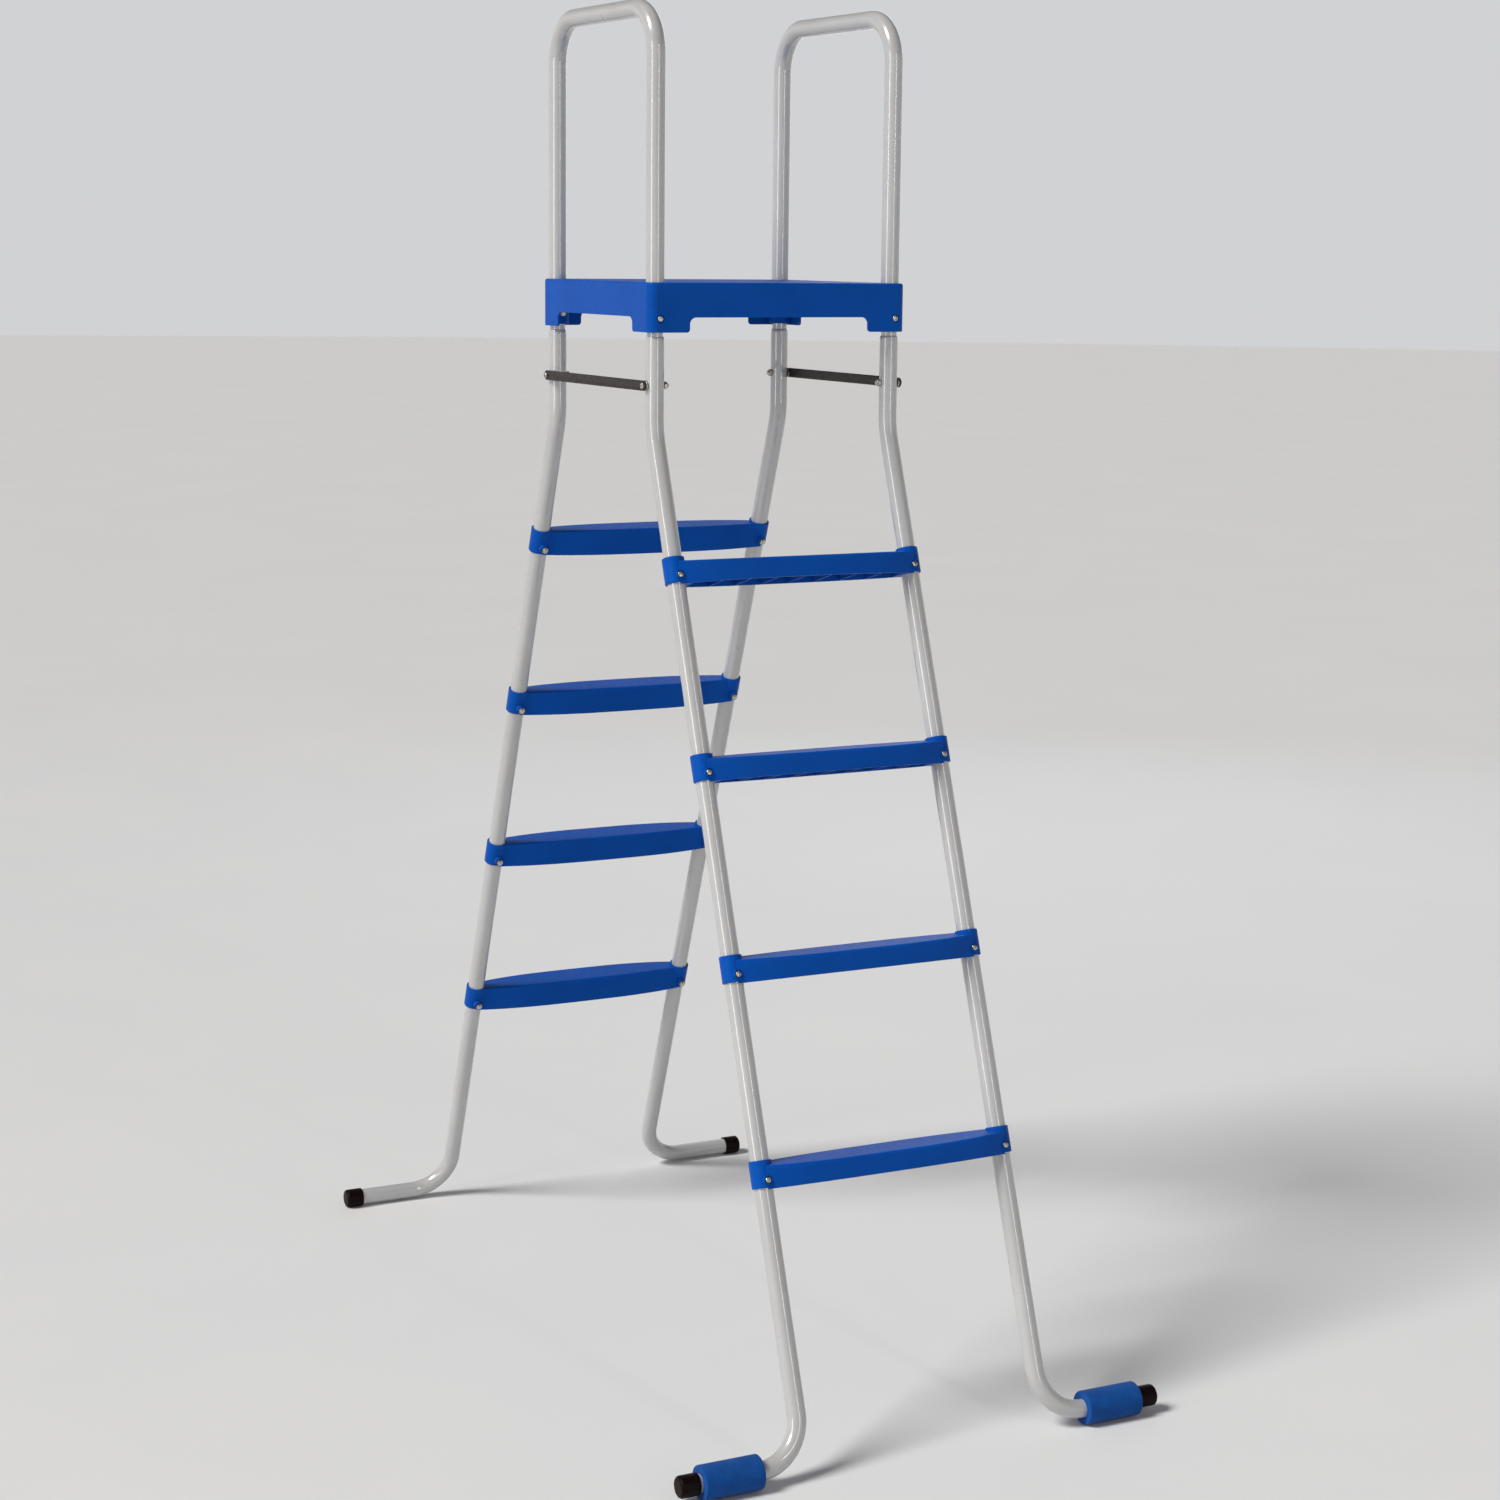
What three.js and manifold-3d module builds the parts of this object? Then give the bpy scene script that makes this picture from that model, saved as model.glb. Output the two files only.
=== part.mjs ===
// Pool ladder for an above-ground pool: an A-frame of two four-step ladders that share a
// platform and a pair of inverted-U handrails. Millimetres, +Z up, +X to the right,
// front ladder towards -Y. The origin is on the floor, at the centre of the footprint.

import * as THREE from 'three';
import { mergeVertices } from 'three/addons/utils/BufferGeometryUtils.js';
import Module from 'manifold-3d';

const wasm = await Module();
wasm.setup();

// ---------------------------------------------------------------- driving dimensions

const GAP = 0.3; // clearance left between pieces that touch
const OVERLAP = 1; // how far joined shapes and cutting tools run into each other

// frame
const HALF_WIDTH = 157; // centre plane to a tube axis, across the ladder
const HALF_DEPTH = 146; // centre plane to a vertical tube axis, front to rear
const PLATFORM_TOP = 1320;
const RAIL_TOP = 1635; // axis of a handrail's top bar
const KNEE_HEIGHT = 1146; // where a leg starts to splay
const SPLAY = THREE.MathUtils.degToRad(20);

// tubes
const TUBE_RADIUS = 11;
const TUBE_WALL = 1.2;
const NECK_RADIUS = 9.5; // swaged leg top that plugs into the handrail
const RAIL_BEND = 55;
const KNEE_BEND = 90;
const FOOT_BEND = 55;
const RAIL_END = 1266;
const NECK_TOP = 1300;
const SHOULDER_TOP = 1257;
const SHOULDER_BOTTOM = 1252;

// feet
const FOOT_REACH = 155.5; // leg axis to the outer end of the end cap
const SLEEVE_RADIUS = 20;
const SLEEVE_LENGTH = 73;
const SLEEVE_ROUND = 3; // rounding of a sleeve's rims
const SLEEVE_START = 56; // leg axis to the sleeve's inner end
const CAP_RADIUS = 12.75;
const CAP_LENGTH = 23.5;
const CAP_END_WALL = 3.5;
const CAP_ROUND = 4; // rounding of the cap's closed end
const CAP_BEVEL = 1.2; // how far that rounding has sunk where it turns

// steps
const STEP_COUNT = 4;
const FIRST_STEP_HEIGHT = 980; // bolt axis of the highest step
const STEP_PITCH = 221;
const COLLAR_RADIUS = 13.4;
const COLLAR_ABOVE_BOLT = 23;
const COLLAR_BELOW_BOLT = 8.5;
const TREAD_HALF_END = 13; // half depth of the tread where it meets a collar
const TREAD_BOW_OUTER = 17;
const TREAD_BOW_INNER = 9;
const TREAD_TOP = 19.5; // tread surface above the bolt axis
const TREAD_OUTER_FACE = 24;
const TREAD_INNER_FACE = 33;
const TREAD_SEGMENTS = 6; // chords along a bowed tread edge
const FRONT_TREAD_TILT = THREE.MathUtils.degToRad(6.5); // outer edge up
const REAR_TREAD_TILT = THREE.MathUtils.degToRad(4.5);
const STEP_WALL = 2.4;
const STEP_TOP_WALL = 3;
const STEP_RIBS = 7;
const BOSS_RADIUS = 5.8;
const BOSS_OUTER = 16; // boss face from the leg axis, outer and inner side
const BOSS_INNER = 18;
const RECESS_RADIUS = 4.5;
const RECESS_DEPTH = 1.8;

// platform
const PLATFORM_HALF_X = 171;
const PLATFORM_HALF_Y = 162;
const PLATFORM_HEIGHT = 58;
const PLATFORM_CORNER = 11;
const PLATFORM_WALL = 2.6;
const PLATFORM_TOP_WALL = 3;
const PLATFORM_RIB_DEPTH = 19;
const PLATFORM_CELLS = 3; // rib cells each way under the top
const SOCKET_RADIUS = 14;
const SOCKET_BOTTOM = 1264;
const TAB_ALONG_X = 52; // length of a corner tab, from the corner
const TAB_ALONG_Y = 50;
const CUTOUT_HEIGHT = 17.5;
const CUTOUT_FILLET = 8;
const TAB_ROUND = 4;
const PLATFORM_BOLT_HEIGHT = 1278;

// link bars and fasteners
const LINK_HEIGHT = 1200;
const LINK_BAR_WIDTH = 12;
const LINK_BAR_THICKNESS = 2.5;
const SPACER_THICKNESS = 1.5;
const SPACER_RADIUS = 6;
const SHANK_RADIUS = 2.5;
const HOLE_RADIUS = 3;
const HEAD_RADIUS = 3.5;
const HEAD_HEIGHT = 2.4;
const HEAD_FLAT_RADIUS = 2.45; // flat top of a bevelled head
const NUT_RADIUS = 4.6;
const NUT_HEIGHT = 4;
const THREAD_PROUD = 2; // bolt end beyond its nut

// facets
const TUBE_SIDES = 12;
const BORE_SIDES = 8; // inside of a leg tube, which nothing fits
const BOSS_SIDES = 6;
const BOLT_SIDES = 6;
const BEND_STEP = THREE.MathUtils.degToRad(22.5);
const THROUGH = 60; // reach of a cutting tool past what it cuts
const WELD = 1e-3; // vertices closer than this are one

// ---------------------------------------------------------------- materials

function paint(color, roughness, metalness) {
  return new THREE.MeshStandardMaterial({ color, roughness, metalness });
}

const WHITE_TUBE = paint(0xe4e4e2, 0.3, 0.1);
const BLUE_PLASTIC = paint(0x1659b4, 0.45, 0);
const BLUE_FOAM = paint(0x1d63b8, 0.9, 0);
const BLACK_RUBBER = paint(0x1d1917, 0.6, 0);
const DARK_STEEL = paint(0x4c4542, 0.5, 0.7);
const BRIGHT_STEEL = paint(0xb9b4ae, 0.35, 1);

// ---------------------------------------------------------------- solids and booleans

function toSolid(geometry) {
  const bare = geometry.clone();
  bare.deleteAttribute('normal');
  bare.deleteAttribute('uv');
  const merged = mergeVertices(bare, WELD);
  return new wasm.Manifold(new wasm.Mesh({
    numProp: 3,
    vertProperties: new Float32Array(merged.attributes.position.array),
    triVerts: new Uint32Array(merged.index.array),
  }));
}

function toGeometry(solid) {
  const mesh = solid.getMesh();
  const geometry = new THREE.BufferGeometry();
  geometry.setAttribute('position', new THREE.BufferAttribute(mesh.vertProperties, 3));
  geometry.setIndex(new THREE.BufferAttribute(mesh.triVerts, 1));
  geometry.computeVertexNormals();
  return geometry;
}

function cut(geometry, ...tools) {
  let solid = toSolid(geometry);
  for (const tool of tools) {
    solid = solid.subtract(toSolid(tool));
  }
  return toGeometry(solid);
}

function join(geometry, ...others) {
  let solid = toSolid(geometry);
  for (const other of others) {
    solid = solid.add(toSolid(other));
  }
  return toGeometry(solid);
}

// A box between two corners.
function block(low, high) {
  const size = high.clone().sub(low);
  const centre = high.clone().add(low).multiplyScalar(0.5);
  return new THREE.BoxGeometry(size.x, size.y, size.z).translate(centre.x, centre.y, centre.z);
}

// A round rod centred on a point, along 'x', 'y' or 'z'.
function rod(radius, length, axis, centre, sides = TUBE_SIDES) {
  const geometry = new THREE.CylinderGeometry(radius, radius, length, sides);
  if (axis === 'x') {
    geometry.rotateZ(Math.PI / 2);
  }
  if (axis === 'z') {
    geometry.rotateX(Math.PI / 2);
  }
  return geometry.translate(centre.x, centre.y, centre.z);
}

// The radius of a polygon's corners whose flat sides touch a circle.
function around(radius) {
  return radius / Math.cos(Math.PI / TUBE_SIDES);
}

// ---------------------------------------------------------------- bent tubes

// A centre line of straight runs and round bends, with stations only where it turns.
class BentCentreLine extends THREE.Curve {
  constructor(corners) {
    super();
    this.stations = [];
    corners.forEach((corner, i) => {
      if (corner.bend) {
        this.addBend(corners[i - 1].point, corner, corners[i + 1].point);
      } else {
        const from = corners[Math.max(i - 1, 0)].point;
        const to = corners[Math.min(i + 1, corners.length - 1)].point;
        this.stations.push({ point: corner.point, tangent: to.clone().sub(from).normalize() });
      }
    });
  }

  addBend(before, corner, after) {
    const inward = corner.point.clone().sub(before).normalize();
    const outward = after.clone().sub(corner.point).normalize();
    const turn = inward.angleTo(outward);
    const towardCentre = outward.clone().addScaledVector(inward, -inward.dot(outward)).normalize();
    const start = corner.point.clone().addScaledVector(inward, -corner.bend * Math.tan(turn / 2));
    const steps = Math.max(2, Math.round(turn / BEND_STEP));
    for (let i = 0; i <= steps; i += 1) {
      const angle = (turn * i) / steps;
      const point = start.clone()
        .addScaledVector(inward, corner.bend * Math.sin(angle))
        .addScaledVector(towardCentre, corner.bend * (1 - Math.cos(angle)));
      const tangent = inward.clone().multiplyScalar(Math.cos(angle))
        .addScaledVector(towardCentre, Math.sin(angle));
      this.stations.push({ point, tangent });
    }
  }

  getSpacedPoints() {
    return this.stations.map((station) => station.point.clone());
  }

  getTangentAt(u, target = new THREE.Vector3()) {
    const index = Math.round(u * (this.stations.length - 1));
    return target.copy(this.stations[index].tangent);
  }
}

function polygon(Kind, radius, sides) {
  const outline = new Kind();
  for (let i = 0; i < sides; i += 1) {
    const angle = (2 * Math.PI * i) / sides;
    const x = radius * Math.cos(angle);
    const y = radius * Math.sin(angle);
    if (i === 0) {
      outline.moveTo(x, y);
    } else {
      outline.lineTo(x, y);
    }
  }
  outline.closePath();
  return outline;
}

function bentTube(corners, boreSides) {
  const centreLine = new BentCentreLine(corners);
  const section = polygon(THREE.Shape, TUBE_RADIUS, TUBE_SIDES);
  section.holes.push(polygon(THREE.Path, TUBE_RADIUS - TUBE_WALL, boreSides));
  return new THREE.ExtrudeGeometry(section, {
    steps: centreLine.stations.length - 1,
    bevelEnabled: false,
    extrudePath: centreLine,
  });
}

function at(x, y, z, bend) {
  return { point: new THREE.Vector3(x, y, z), bend };
}

// ---------------------------------------------------------------- handrails

function handrail(side) {
  const x = side * HALF_WIDTH;
  const tube = bentTube([
    at(x, -HALF_DEPTH, RAIL_END),
    at(x, -HALF_DEPTH, RAIL_TOP, RAIL_BEND),
    at(x, HALF_DEPTH, RAIL_TOP, RAIL_BEND),
    at(x, HALF_DEPTH, RAIL_END),
  ], TUBE_SIDES);
  const holes = [-1, 1].map((end) => (
    platformBoltHole(new THREE.Vector3(x, end * HALF_DEPTH, PLATFORM_BOLT_HEIGHT))
  ));
  return cut(tube, ...holes);
}

function platformBoltHole(centre) {
  return rod(HOLE_RADIUS, THROUGH, 'y', centre, BOLT_SIDES);
}

// ---------------------------------------------------------------- legs

// The narrow neck is drawn down from the tube: everything above the shoulder closes in.
function swageTop(geometry, axisX) {
  const position = geometry.attributes.position;
  const neckScale = NECK_RADIUS / TUBE_RADIUS;
  for (let i = 0; i < position.count; i += 1) {
    const z = position.getZ(i);
    const closed = THREE.MathUtils.clamp(
      (z - SHOULDER_BOTTOM) / (SHOULDER_TOP - SHOULDER_BOTTOM), 0, 1,
    );
    const scale = 1 - (1 - neckScale) * closed * closed;
    position.setX(i, axisX + (position.getX(i) - axisX) * scale);
    position.setY(i, -HALF_DEPTH + (position.getY(i) + HALF_DEPTH) * scale);
  }
  return geometry;
}

function stepDistance(index) {
  const height = FIRST_STEP_HEIGHT - index * STEP_PITCH;
  return (KNEE_HEIGHT - height) / Math.cos(SPLAY);
}

// A leg of the front ladder, in the ladder's own upright frame.
function leg(side, footHeight) {
  const x = side * HALF_WIDTH;
  const footY = -HALF_DEPTH - (KNEE_HEIGHT - footHeight) * Math.tan(SPLAY);
  const tubeEnd = FOOT_REACH - CAP_END_WALL - GAP;
  const shoulderMiddle = (SHOULDER_TOP + SHOULDER_BOTTOM) / 2;
  const tube = swageTop(bentTube([
    at(x, -HALF_DEPTH, NECK_TOP),
    at(x, -HALF_DEPTH, SHOULDER_TOP),
    at(x, -HALF_DEPTH, shoulderMiddle),
    at(x, -HALF_DEPTH, SHOULDER_BOTTOM),
    at(x, -HALF_DEPTH, KNEE_HEIGHT, KNEE_BEND),
    at(x, footY, footHeight, FOOT_BEND),
    at(x + side * tubeEnd, footY, footHeight),
  ], BORE_SIDES), x);
  const linkHole = rod(
    HOLE_RADIUS, THROUGH, 'x', new THREE.Vector3(x, -HALF_DEPTH, LINK_HEIGHT), BOLT_SIDES,
  );
  const neckHole = platformBoltHole(new THREE.Vector3(x, -HALF_DEPTH, PLATFORM_BOLT_HEIGHT));
  const stepHoles = [];
  for (let i = 0; i < STEP_COUNT; i += 1) {
    const centre = new THREE.Vector3(x, 0, -stepDistance(i));
    stepHoles.push(rod(HOLE_RADIUS, THROUGH, 'y', centre, BOLT_SIDES).applyMatrix4(splayMatrix()));
  }
  return cut(tube, linkHole, neckHole, ...stepHoles);
}

// The frame whose -Z runs down a splayed leg pair, from the knees.
function splayMatrix() {
  return new THREE.Matrix4().makeRotationX(-SPLAY).setPosition(0, -HALF_DEPTH, KNEE_HEIGHT);
}

// ---------------------------------------------------------------- steps

// Share of its full bow that a tread edge has at x: full but for the ends.
function treadBow(x) {
  return 1 - Math.abs(x / HALF_WIDTH) ** 3;
}

// Lens outline of the tread seen along its own vertical; inset draws it in on every side.
function treadOutline(halfLength, inset) {
  const outline = [];
  for (let i = 0; i <= TREAD_SEGMENTS; i += 1) {
    const x = -halfLength + (2 * halfLength * i) / TREAD_SEGMENTS;
    const bow = treadBow(x);
    outline.push(new THREE.Vector2(x, -(TREAD_HALF_END + TREAD_BOW_OUTER * bow - inset)));
  }
  for (let i = TREAD_SEGMENTS; i >= 0; i -= 1) {
    const x = -halfLength + (2 * halfLength * i) / TREAD_SEGMENTS;
    const bow = treadBow(x);
    outline.push(new THREE.Vector2(x, TREAD_HALF_END + TREAD_BOW_INNER * bow - inset));
  }
  return new THREE.Shape(outline);
}

// A prism of a tread outline between two levels.
function treadPrism(outline, low, high) {
  return new THREE.ExtrudeGeometry(outline, { depth: high - low, bevelEnabled: false })
    .translate(0, 0, low);
}

// The wedge under the tread: its inner face hangs lower than its outer one.
function treadUnderside() {
  const outerY = -(TREAD_HALF_END + TREAD_BOW_OUTER);
  const innerY = TREAD_HALF_END + TREAD_BOW_INNER;
  const outerZ = TREAD_TOP - TREAD_OUTER_FACE;
  const innerZ = TREAD_TOP - TREAD_INNER_FACE;
  const slope = (innerZ - outerZ) / (innerY - outerY);
  return new THREE.BoxGeometry(2 * HALF_WIDTH + THROUGH, 3 * THROUGH, THROUGH)
    .translate(0, 0, -THROUGH / 2)
    .rotateX(Math.atan(slope))
    .translate(0, outerY, outerZ);
}

// Hollow between two ribs, open downwards.
function treadPockets() {
  const halfClear = HALF_WIDTH - COLLAR_RADIUS - STEP_WALL;
  const pitch = (2 * halfClear) / (STEP_RIBS + 1);
  const roof = TREAD_TOP - STEP_TOP_WALL;
  const inside = toSolid(treadPrism(treadOutline(halfClear, STEP_WALL), -THROUGH, roof));
  const pockets = [];
  for (let i = 0; i <= STEP_RIBS; i += 1) {
    const middle = -halfClear + (i + 0.5) * pitch;
    const halfPocket = (pitch - STEP_WALL) / 2;
    const bay = block(
      new THREE.Vector3(middle - halfPocket, -THROUGH, -2 * THROUGH),
      new THREE.Vector3(middle + halfPocket, THROUGH, THROUGH),
    );
    pockets.push(toGeometry(inside.intersect(toSolid(bay))));
  }
  return pockets;
}

// One moulded step in the splayed frame, with its bolt axes at z = 0 and -Y facing outwards.
// lean is the angle between its collars and the upright of its tread.
function step(lean) {
  const tread = cut(
    treadPrism(treadOutline(HALF_WIDTH, 0), -THROUGH / 2, TREAD_TOP),
    treadUnderside(),
    ...treadPockets(),
  ).rotateX(lean);
  const collarLength = COLLAR_ABOVE_BOLT + COLLAR_BELOW_BOLT;
  const collarMiddle = (COLLAR_ABOVE_BOLT - COLLAR_BELOW_BOLT) / 2;
  const additions = [];
  const removals = [];
  for (const side of [-1, 1]) {
    const x = side * HALF_WIDTH;
    additions.push(rod(COLLAR_RADIUS, collarLength, 'z', new THREE.Vector3(x, 0, collarMiddle)));
    additions.push(stepBoss(x, -BOSS_OUTER));
    additions.push(stepBoss(x, BOSS_INNER));
    const bore = new THREE.Vector3(x, 0, 0);
    removals.push(rod(TUBE_RADIUS + GAP, 2 * THROUGH, 'z', bore));
    removals.push(rod(HOLE_RADIUS, THROUGH, 'y', bore, BOLT_SIDES));
    removals.push(stepRecess(x, -BOSS_OUTER));
    removals.push(stepRecess(x, BOSS_INNER));
  }
  return cut(join(tread, ...additions), ...removals);
}

// Round pad that carries a bolt head or nut, from the collar out to its face.
function stepBoss(x, faceY) {
  const middle = new THREE.Vector3(x, faceY / 2, 0);
  return rod(BOSS_RADIUS, Math.abs(faceY), 'y', middle, BOSS_SIDES);
}

function stepRecess(x, faceY) {
  const start = Math.sign(faceY) * (Math.abs(faceY) - RECESS_DEPTH);
  const centre = new THREE.Vector3(x, start + Math.sign(faceY) * (THROUGH / 2), 0);
  return rod(RECESS_RADIUS, THROUGH, 'y', centre, BOSS_SIDES);
}

// ---------------------------------------------------------------- platform

// Rounded rectangle with two chords to a corner.
function roundedRectangle(halfX, halfY, radius) {
  const chords = 2;
  const outline = [];
  const corners = [[1, 1, 0], [-1, 1, 1], [-1, -1, 2], [1, -1, 3]];
  for (const [sx, sy, quarter] of corners) {
    for (let i = 0; i <= chords; i += 1) {
      const angle = ((quarter + i / chords) * Math.PI) / 2;
      outline.push(new THREE.Vector2(
        sx * (halfX - radius) + radius * Math.cos(angle),
        sy * (halfY - radius) + radius * Math.sin(angle),
      ));
    }
  }
  return new THREE.Shape(outline);
}

// Cut-out between two corner tabs, drawn in the plane of a side and cut right through.
function skirtCutout(halfOpening, reach) {
  const top = CUTOUT_HEIGHT;
  const outline = new THREE.Shape();
  outline.moveTo(-halfOpening - TAB_ROUND, -TAB_ROUND);
  outline.lineTo(-halfOpening - TAB_ROUND, 0);
  outline.lineTo(-halfOpening, TAB_ROUND);
  outline.lineTo(-halfOpening, top - CUTOUT_FILLET);
  outline.absarc(
    -halfOpening + CUTOUT_FILLET, top - CUTOUT_FILLET, CUTOUT_FILLET, Math.PI, Math.PI / 2, true,
  );
  outline.lineTo(halfOpening - CUTOUT_FILLET, top);
  outline.absarc(
    halfOpening - CUTOUT_FILLET, top - CUTOUT_FILLET, CUTOUT_FILLET, Math.PI / 2, 0, true,
  );
  outline.lineTo(halfOpening, TAB_ROUND);
  outline.lineTo(halfOpening + TAB_ROUND, 0);
  outline.lineTo(halfOpening + TAB_ROUND, -TAB_ROUND);
  return new THREE.ExtrudeGeometry(outline, {
    depth: 2 * reach, bevelEnabled: false, curveSegments: 2,
  }).translate(0, 0, -reach).rotateX(Math.PI / 2);
}

function platform() {
  const bottom = PLATFORM_TOP - PLATFORM_HEIGHT;
  const roof = PLATFORM_TOP - PLATFORM_TOP_WALL;
  const ribBottom = roof - PLATFORM_RIB_DEPTH;
  const insideX = PLATFORM_HALF_X - PLATFORM_WALL;
  const insideY = PLATFORM_HALF_Y - PLATFORM_WALL;
  const outside = new THREE.ExtrudeGeometry(
    roundedRectangle(PLATFORM_HALF_X, PLATFORM_HALF_Y, PLATFORM_CORNER),
    { depth: PLATFORM_HEIGHT, bevelEnabled: false },
  ).translate(0, 0, bottom);
  const hollow = new THREE.ExtrudeGeometry(
    roundedRectangle(insideX, insideY, PLATFORM_CORNER - PLATFORM_WALL),
    { depth: ribBottom - bottom + THROUGH, bevelEnabled: false },
  ).translate(0, 0, bottom - THROUGH);
  const shell = cut(
    outside,
    hollow,
    ...platformCells(insideX, insideY, ribBottom - OVERLAP, roof),
    skirtCutout(PLATFORM_HALF_X - TAB_ALONG_X, 2 * HALF_DEPTH).translate(0, 0, bottom),
    skirtCutout(PLATFORM_HALF_Y - TAB_ALONG_Y, 2 * HALF_DEPTH).rotateZ(Math.PI / 2)
      .translate(0, 0, bottom),
  );
  return addTubeSockets(shell, roof);
}

// The grid of hollows between the ribs under the top.
function platformCells(insideX, insideY, low, high) {
  const pitchX = (2 * insideX) / PLATFORM_CELLS;
  const pitchY = (2 * insideY) / PLATFORM_CELLS;
  const half = PLATFORM_WALL / 2;
  const cells = [];
  for (let i = 0; i < PLATFORM_CELLS; i += 1) {
    for (let j = 0; j < PLATFORM_CELLS; j += 1) {
      const x = -insideX + i * pitchX;
      const y = -insideY + j * pitchY;
      cells.push(block(
        new THREE.Vector3(x + half, y + half, low),
        new THREE.Vector3(x + pitchX - half, y + pitchY - half, high),
      ));
    }
  }
  return cells;
}

// Corner sockets that hold the handrail ends, with bolt holes and head recesses.
function addTubeSockets(shell, roof) {
  const sockets = [];
  const removals = [];
  for (const sx of [-1, 1]) {
    for (const sy of [-1, 1]) {
      const x = sx * HALF_WIDTH;
      const y = sy * HALF_DEPTH;
      const middle = (SOCKET_BOTTOM + roof + OVERLAP) / 2;
      const length = roof + OVERLAP - SOCKET_BOTTOM;
      const skirtY = sy * (PLATFORM_HALF_Y - OVERLAP);
      sockets.push(rod(SOCKET_RADIUS, length, 'z', new THREE.Vector3(x, y, middle)));
      sockets.push(block(
        new THREE.Vector3(x - BOSS_RADIUS, Math.min(y, skirtY), SOCKET_BOTTOM),
        new THREE.Vector3(x + BOSS_RADIUS, Math.max(y, skirtY), roof),
      ));
      removals.push(rod(
        TUBE_RADIUS + GAP, PLATFORM_HEIGHT + 2 * THROUGH, 'z', new THREE.Vector3(x, y, PLATFORM_TOP),
      ));
      removals.push(platformBoltHole(new THREE.Vector3(x, y, PLATFORM_BOLT_HEIGHT)));
      const recessMiddle = PLATFORM_HALF_Y - RECESS_DEPTH + THROUGH / 2;
      const recess = new THREE.Vector3(x, sy * recessMiddle, PLATFORM_BOLT_HEIGHT);
      removals.push(rod(RECESS_RADIUS, THROUGH, 'y', recess, BOSS_SIDES));
    }
  }
  return cut(join(shell, ...sockets), ...removals);
}

// ---------------------------------------------------------------- feet

// Outer half-profile turned about Y with a flat side downwards once it lies along X.
function turned(points) {
  const profile = points.map(([radius, height]) => new THREE.Vector2(radius, height));
  return new THREE.LatheGeometry(profile, TUBE_SIDES, Math.PI / TUBE_SIDES);
}

// Black cap pushed over the tube end; its closed end is at the origin, open end towards +Y.
function endCap() {
  const rim = around(CAP_RADIUS);
  const bore = around(TUBE_RADIUS + GAP);
  return turned([
    [0, 0],
    [rim - CAP_ROUND, 0],
    [rim - CAP_BEVEL, CAP_BEVEL],
    [rim, CAP_ROUND],
    [rim, CAP_LENGTH],
    [bore, CAP_LENGTH],
    [bore, CAP_END_WALL],
    [0, CAP_END_WALL],
  ]);
}

// Soft foam sleeve on a front foot, from the origin towards +Y.
function footSleeve() {
  const outer = around(SLEEVE_RADIUS);
  const bore = around(TUBE_RADIUS + GAP);
  return turned([
    [bore, 0],
    [outer - SLEEVE_ROUND, 0],
    [outer, SLEEVE_ROUND],
    [outer, SLEEVE_LENGTH - SLEEVE_ROUND],
    [outer - SLEEVE_ROUND, SLEEVE_LENGTH],
    [bore, SLEEVE_LENGTH],
    [bore, 0],
  ]);
}

// ---------------------------------------------------------------- fasteners and link bars

// Bolt with its head's underside at the origin, head towards -Y and shank towards +Y.
function bolt(shankLength) {
  const profile = [
    [0, -HEAD_HEIGHT],
    [HEAD_FLAT_RADIUS, -HEAD_HEIGHT],
    [HEAD_RADIUS, -HEAD_HEIGHT / 2],
    [HEAD_RADIUS, 0],
    [SHANK_RADIUS, 0],
    [SHANK_RADIUS, shankLength],
    [0, shankLength],
  ].map(([radius, height]) => new THREE.Vector2(radius, height));
  return new THREE.LatheGeometry(profile, BOLT_SIDES);
}

// Hexagon nut along Y, from the origin towards +Y.
function nut() {
  const body = new THREE.CylinderGeometry(NUT_RADIUS, NUT_RADIUS, NUT_HEIGHT, 6)
    .translate(0, NUT_HEIGHT / 2, 0);
  return cut(body, rod(HOLE_RADIUS, THROUGH, 'y', new THREE.Vector3(), BOLT_SIDES));
}

function spacer() {
  const centre = new THREE.Vector3(0, SPACER_THICKNESS / 2, 0);
  const disc = rod(SPACER_RADIUS, SPACER_THICKNESS, 'y', centre);
  return cut(disc, rod(HOLE_RADIUS, THROUGH, 'y', new THREE.Vector3(), BOLT_SIDES));
}

// Flat bar with round ends in the YZ plane, from x = 0 to its thickness.
function linkBar() {
  const radius = LINK_BAR_WIDTH / 2;
  const outline = new THREE.Shape();
  outline.absarc(HALF_DEPTH, 0, radius, -Math.PI / 2, Math.PI / 2, false);
  outline.absarc(-HALF_DEPTH, 0, radius, Math.PI / 2, (3 * Math.PI) / 2, false);
  const bar = new THREE.ExtrudeGeometry(outline, {
    depth: LINK_BAR_THICKNESS, bevelEnabled: false, curveSegments: 4,
  }).rotateX(Math.PI / 2).rotateZ(Math.PI / 2);
  const holes = [-1, 1].map((end) => (
    rod(HOLE_RADIUS, THROUGH, 'x', new THREE.Vector3(0, end * HALF_DEPTH, 0), BOLT_SIDES)
  ));
  return cut(bar, ...holes);
}

// ---------------------------------------------------------------- assembly

function addMesh(parent, name, geometry, material, position = new THREE.Vector3()) {
  const mesh = new THREE.Mesh(geometry, material);
  mesh.name = name;
  mesh.position.copy(position);
  parent.add(mesh);
  return mesh;
}

// A fastener made along Y, turned to run along X, pointing inwards from the given side.
function addAlongX(parent, name, geometry, material, side, x, y, z) {
  const mesh = addMesh(parent, name, geometry, material, new THREE.Vector3(side * x, y, z));
  mesh.rotation.z = side * (Math.PI / 2);
  return mesh;
}

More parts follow.
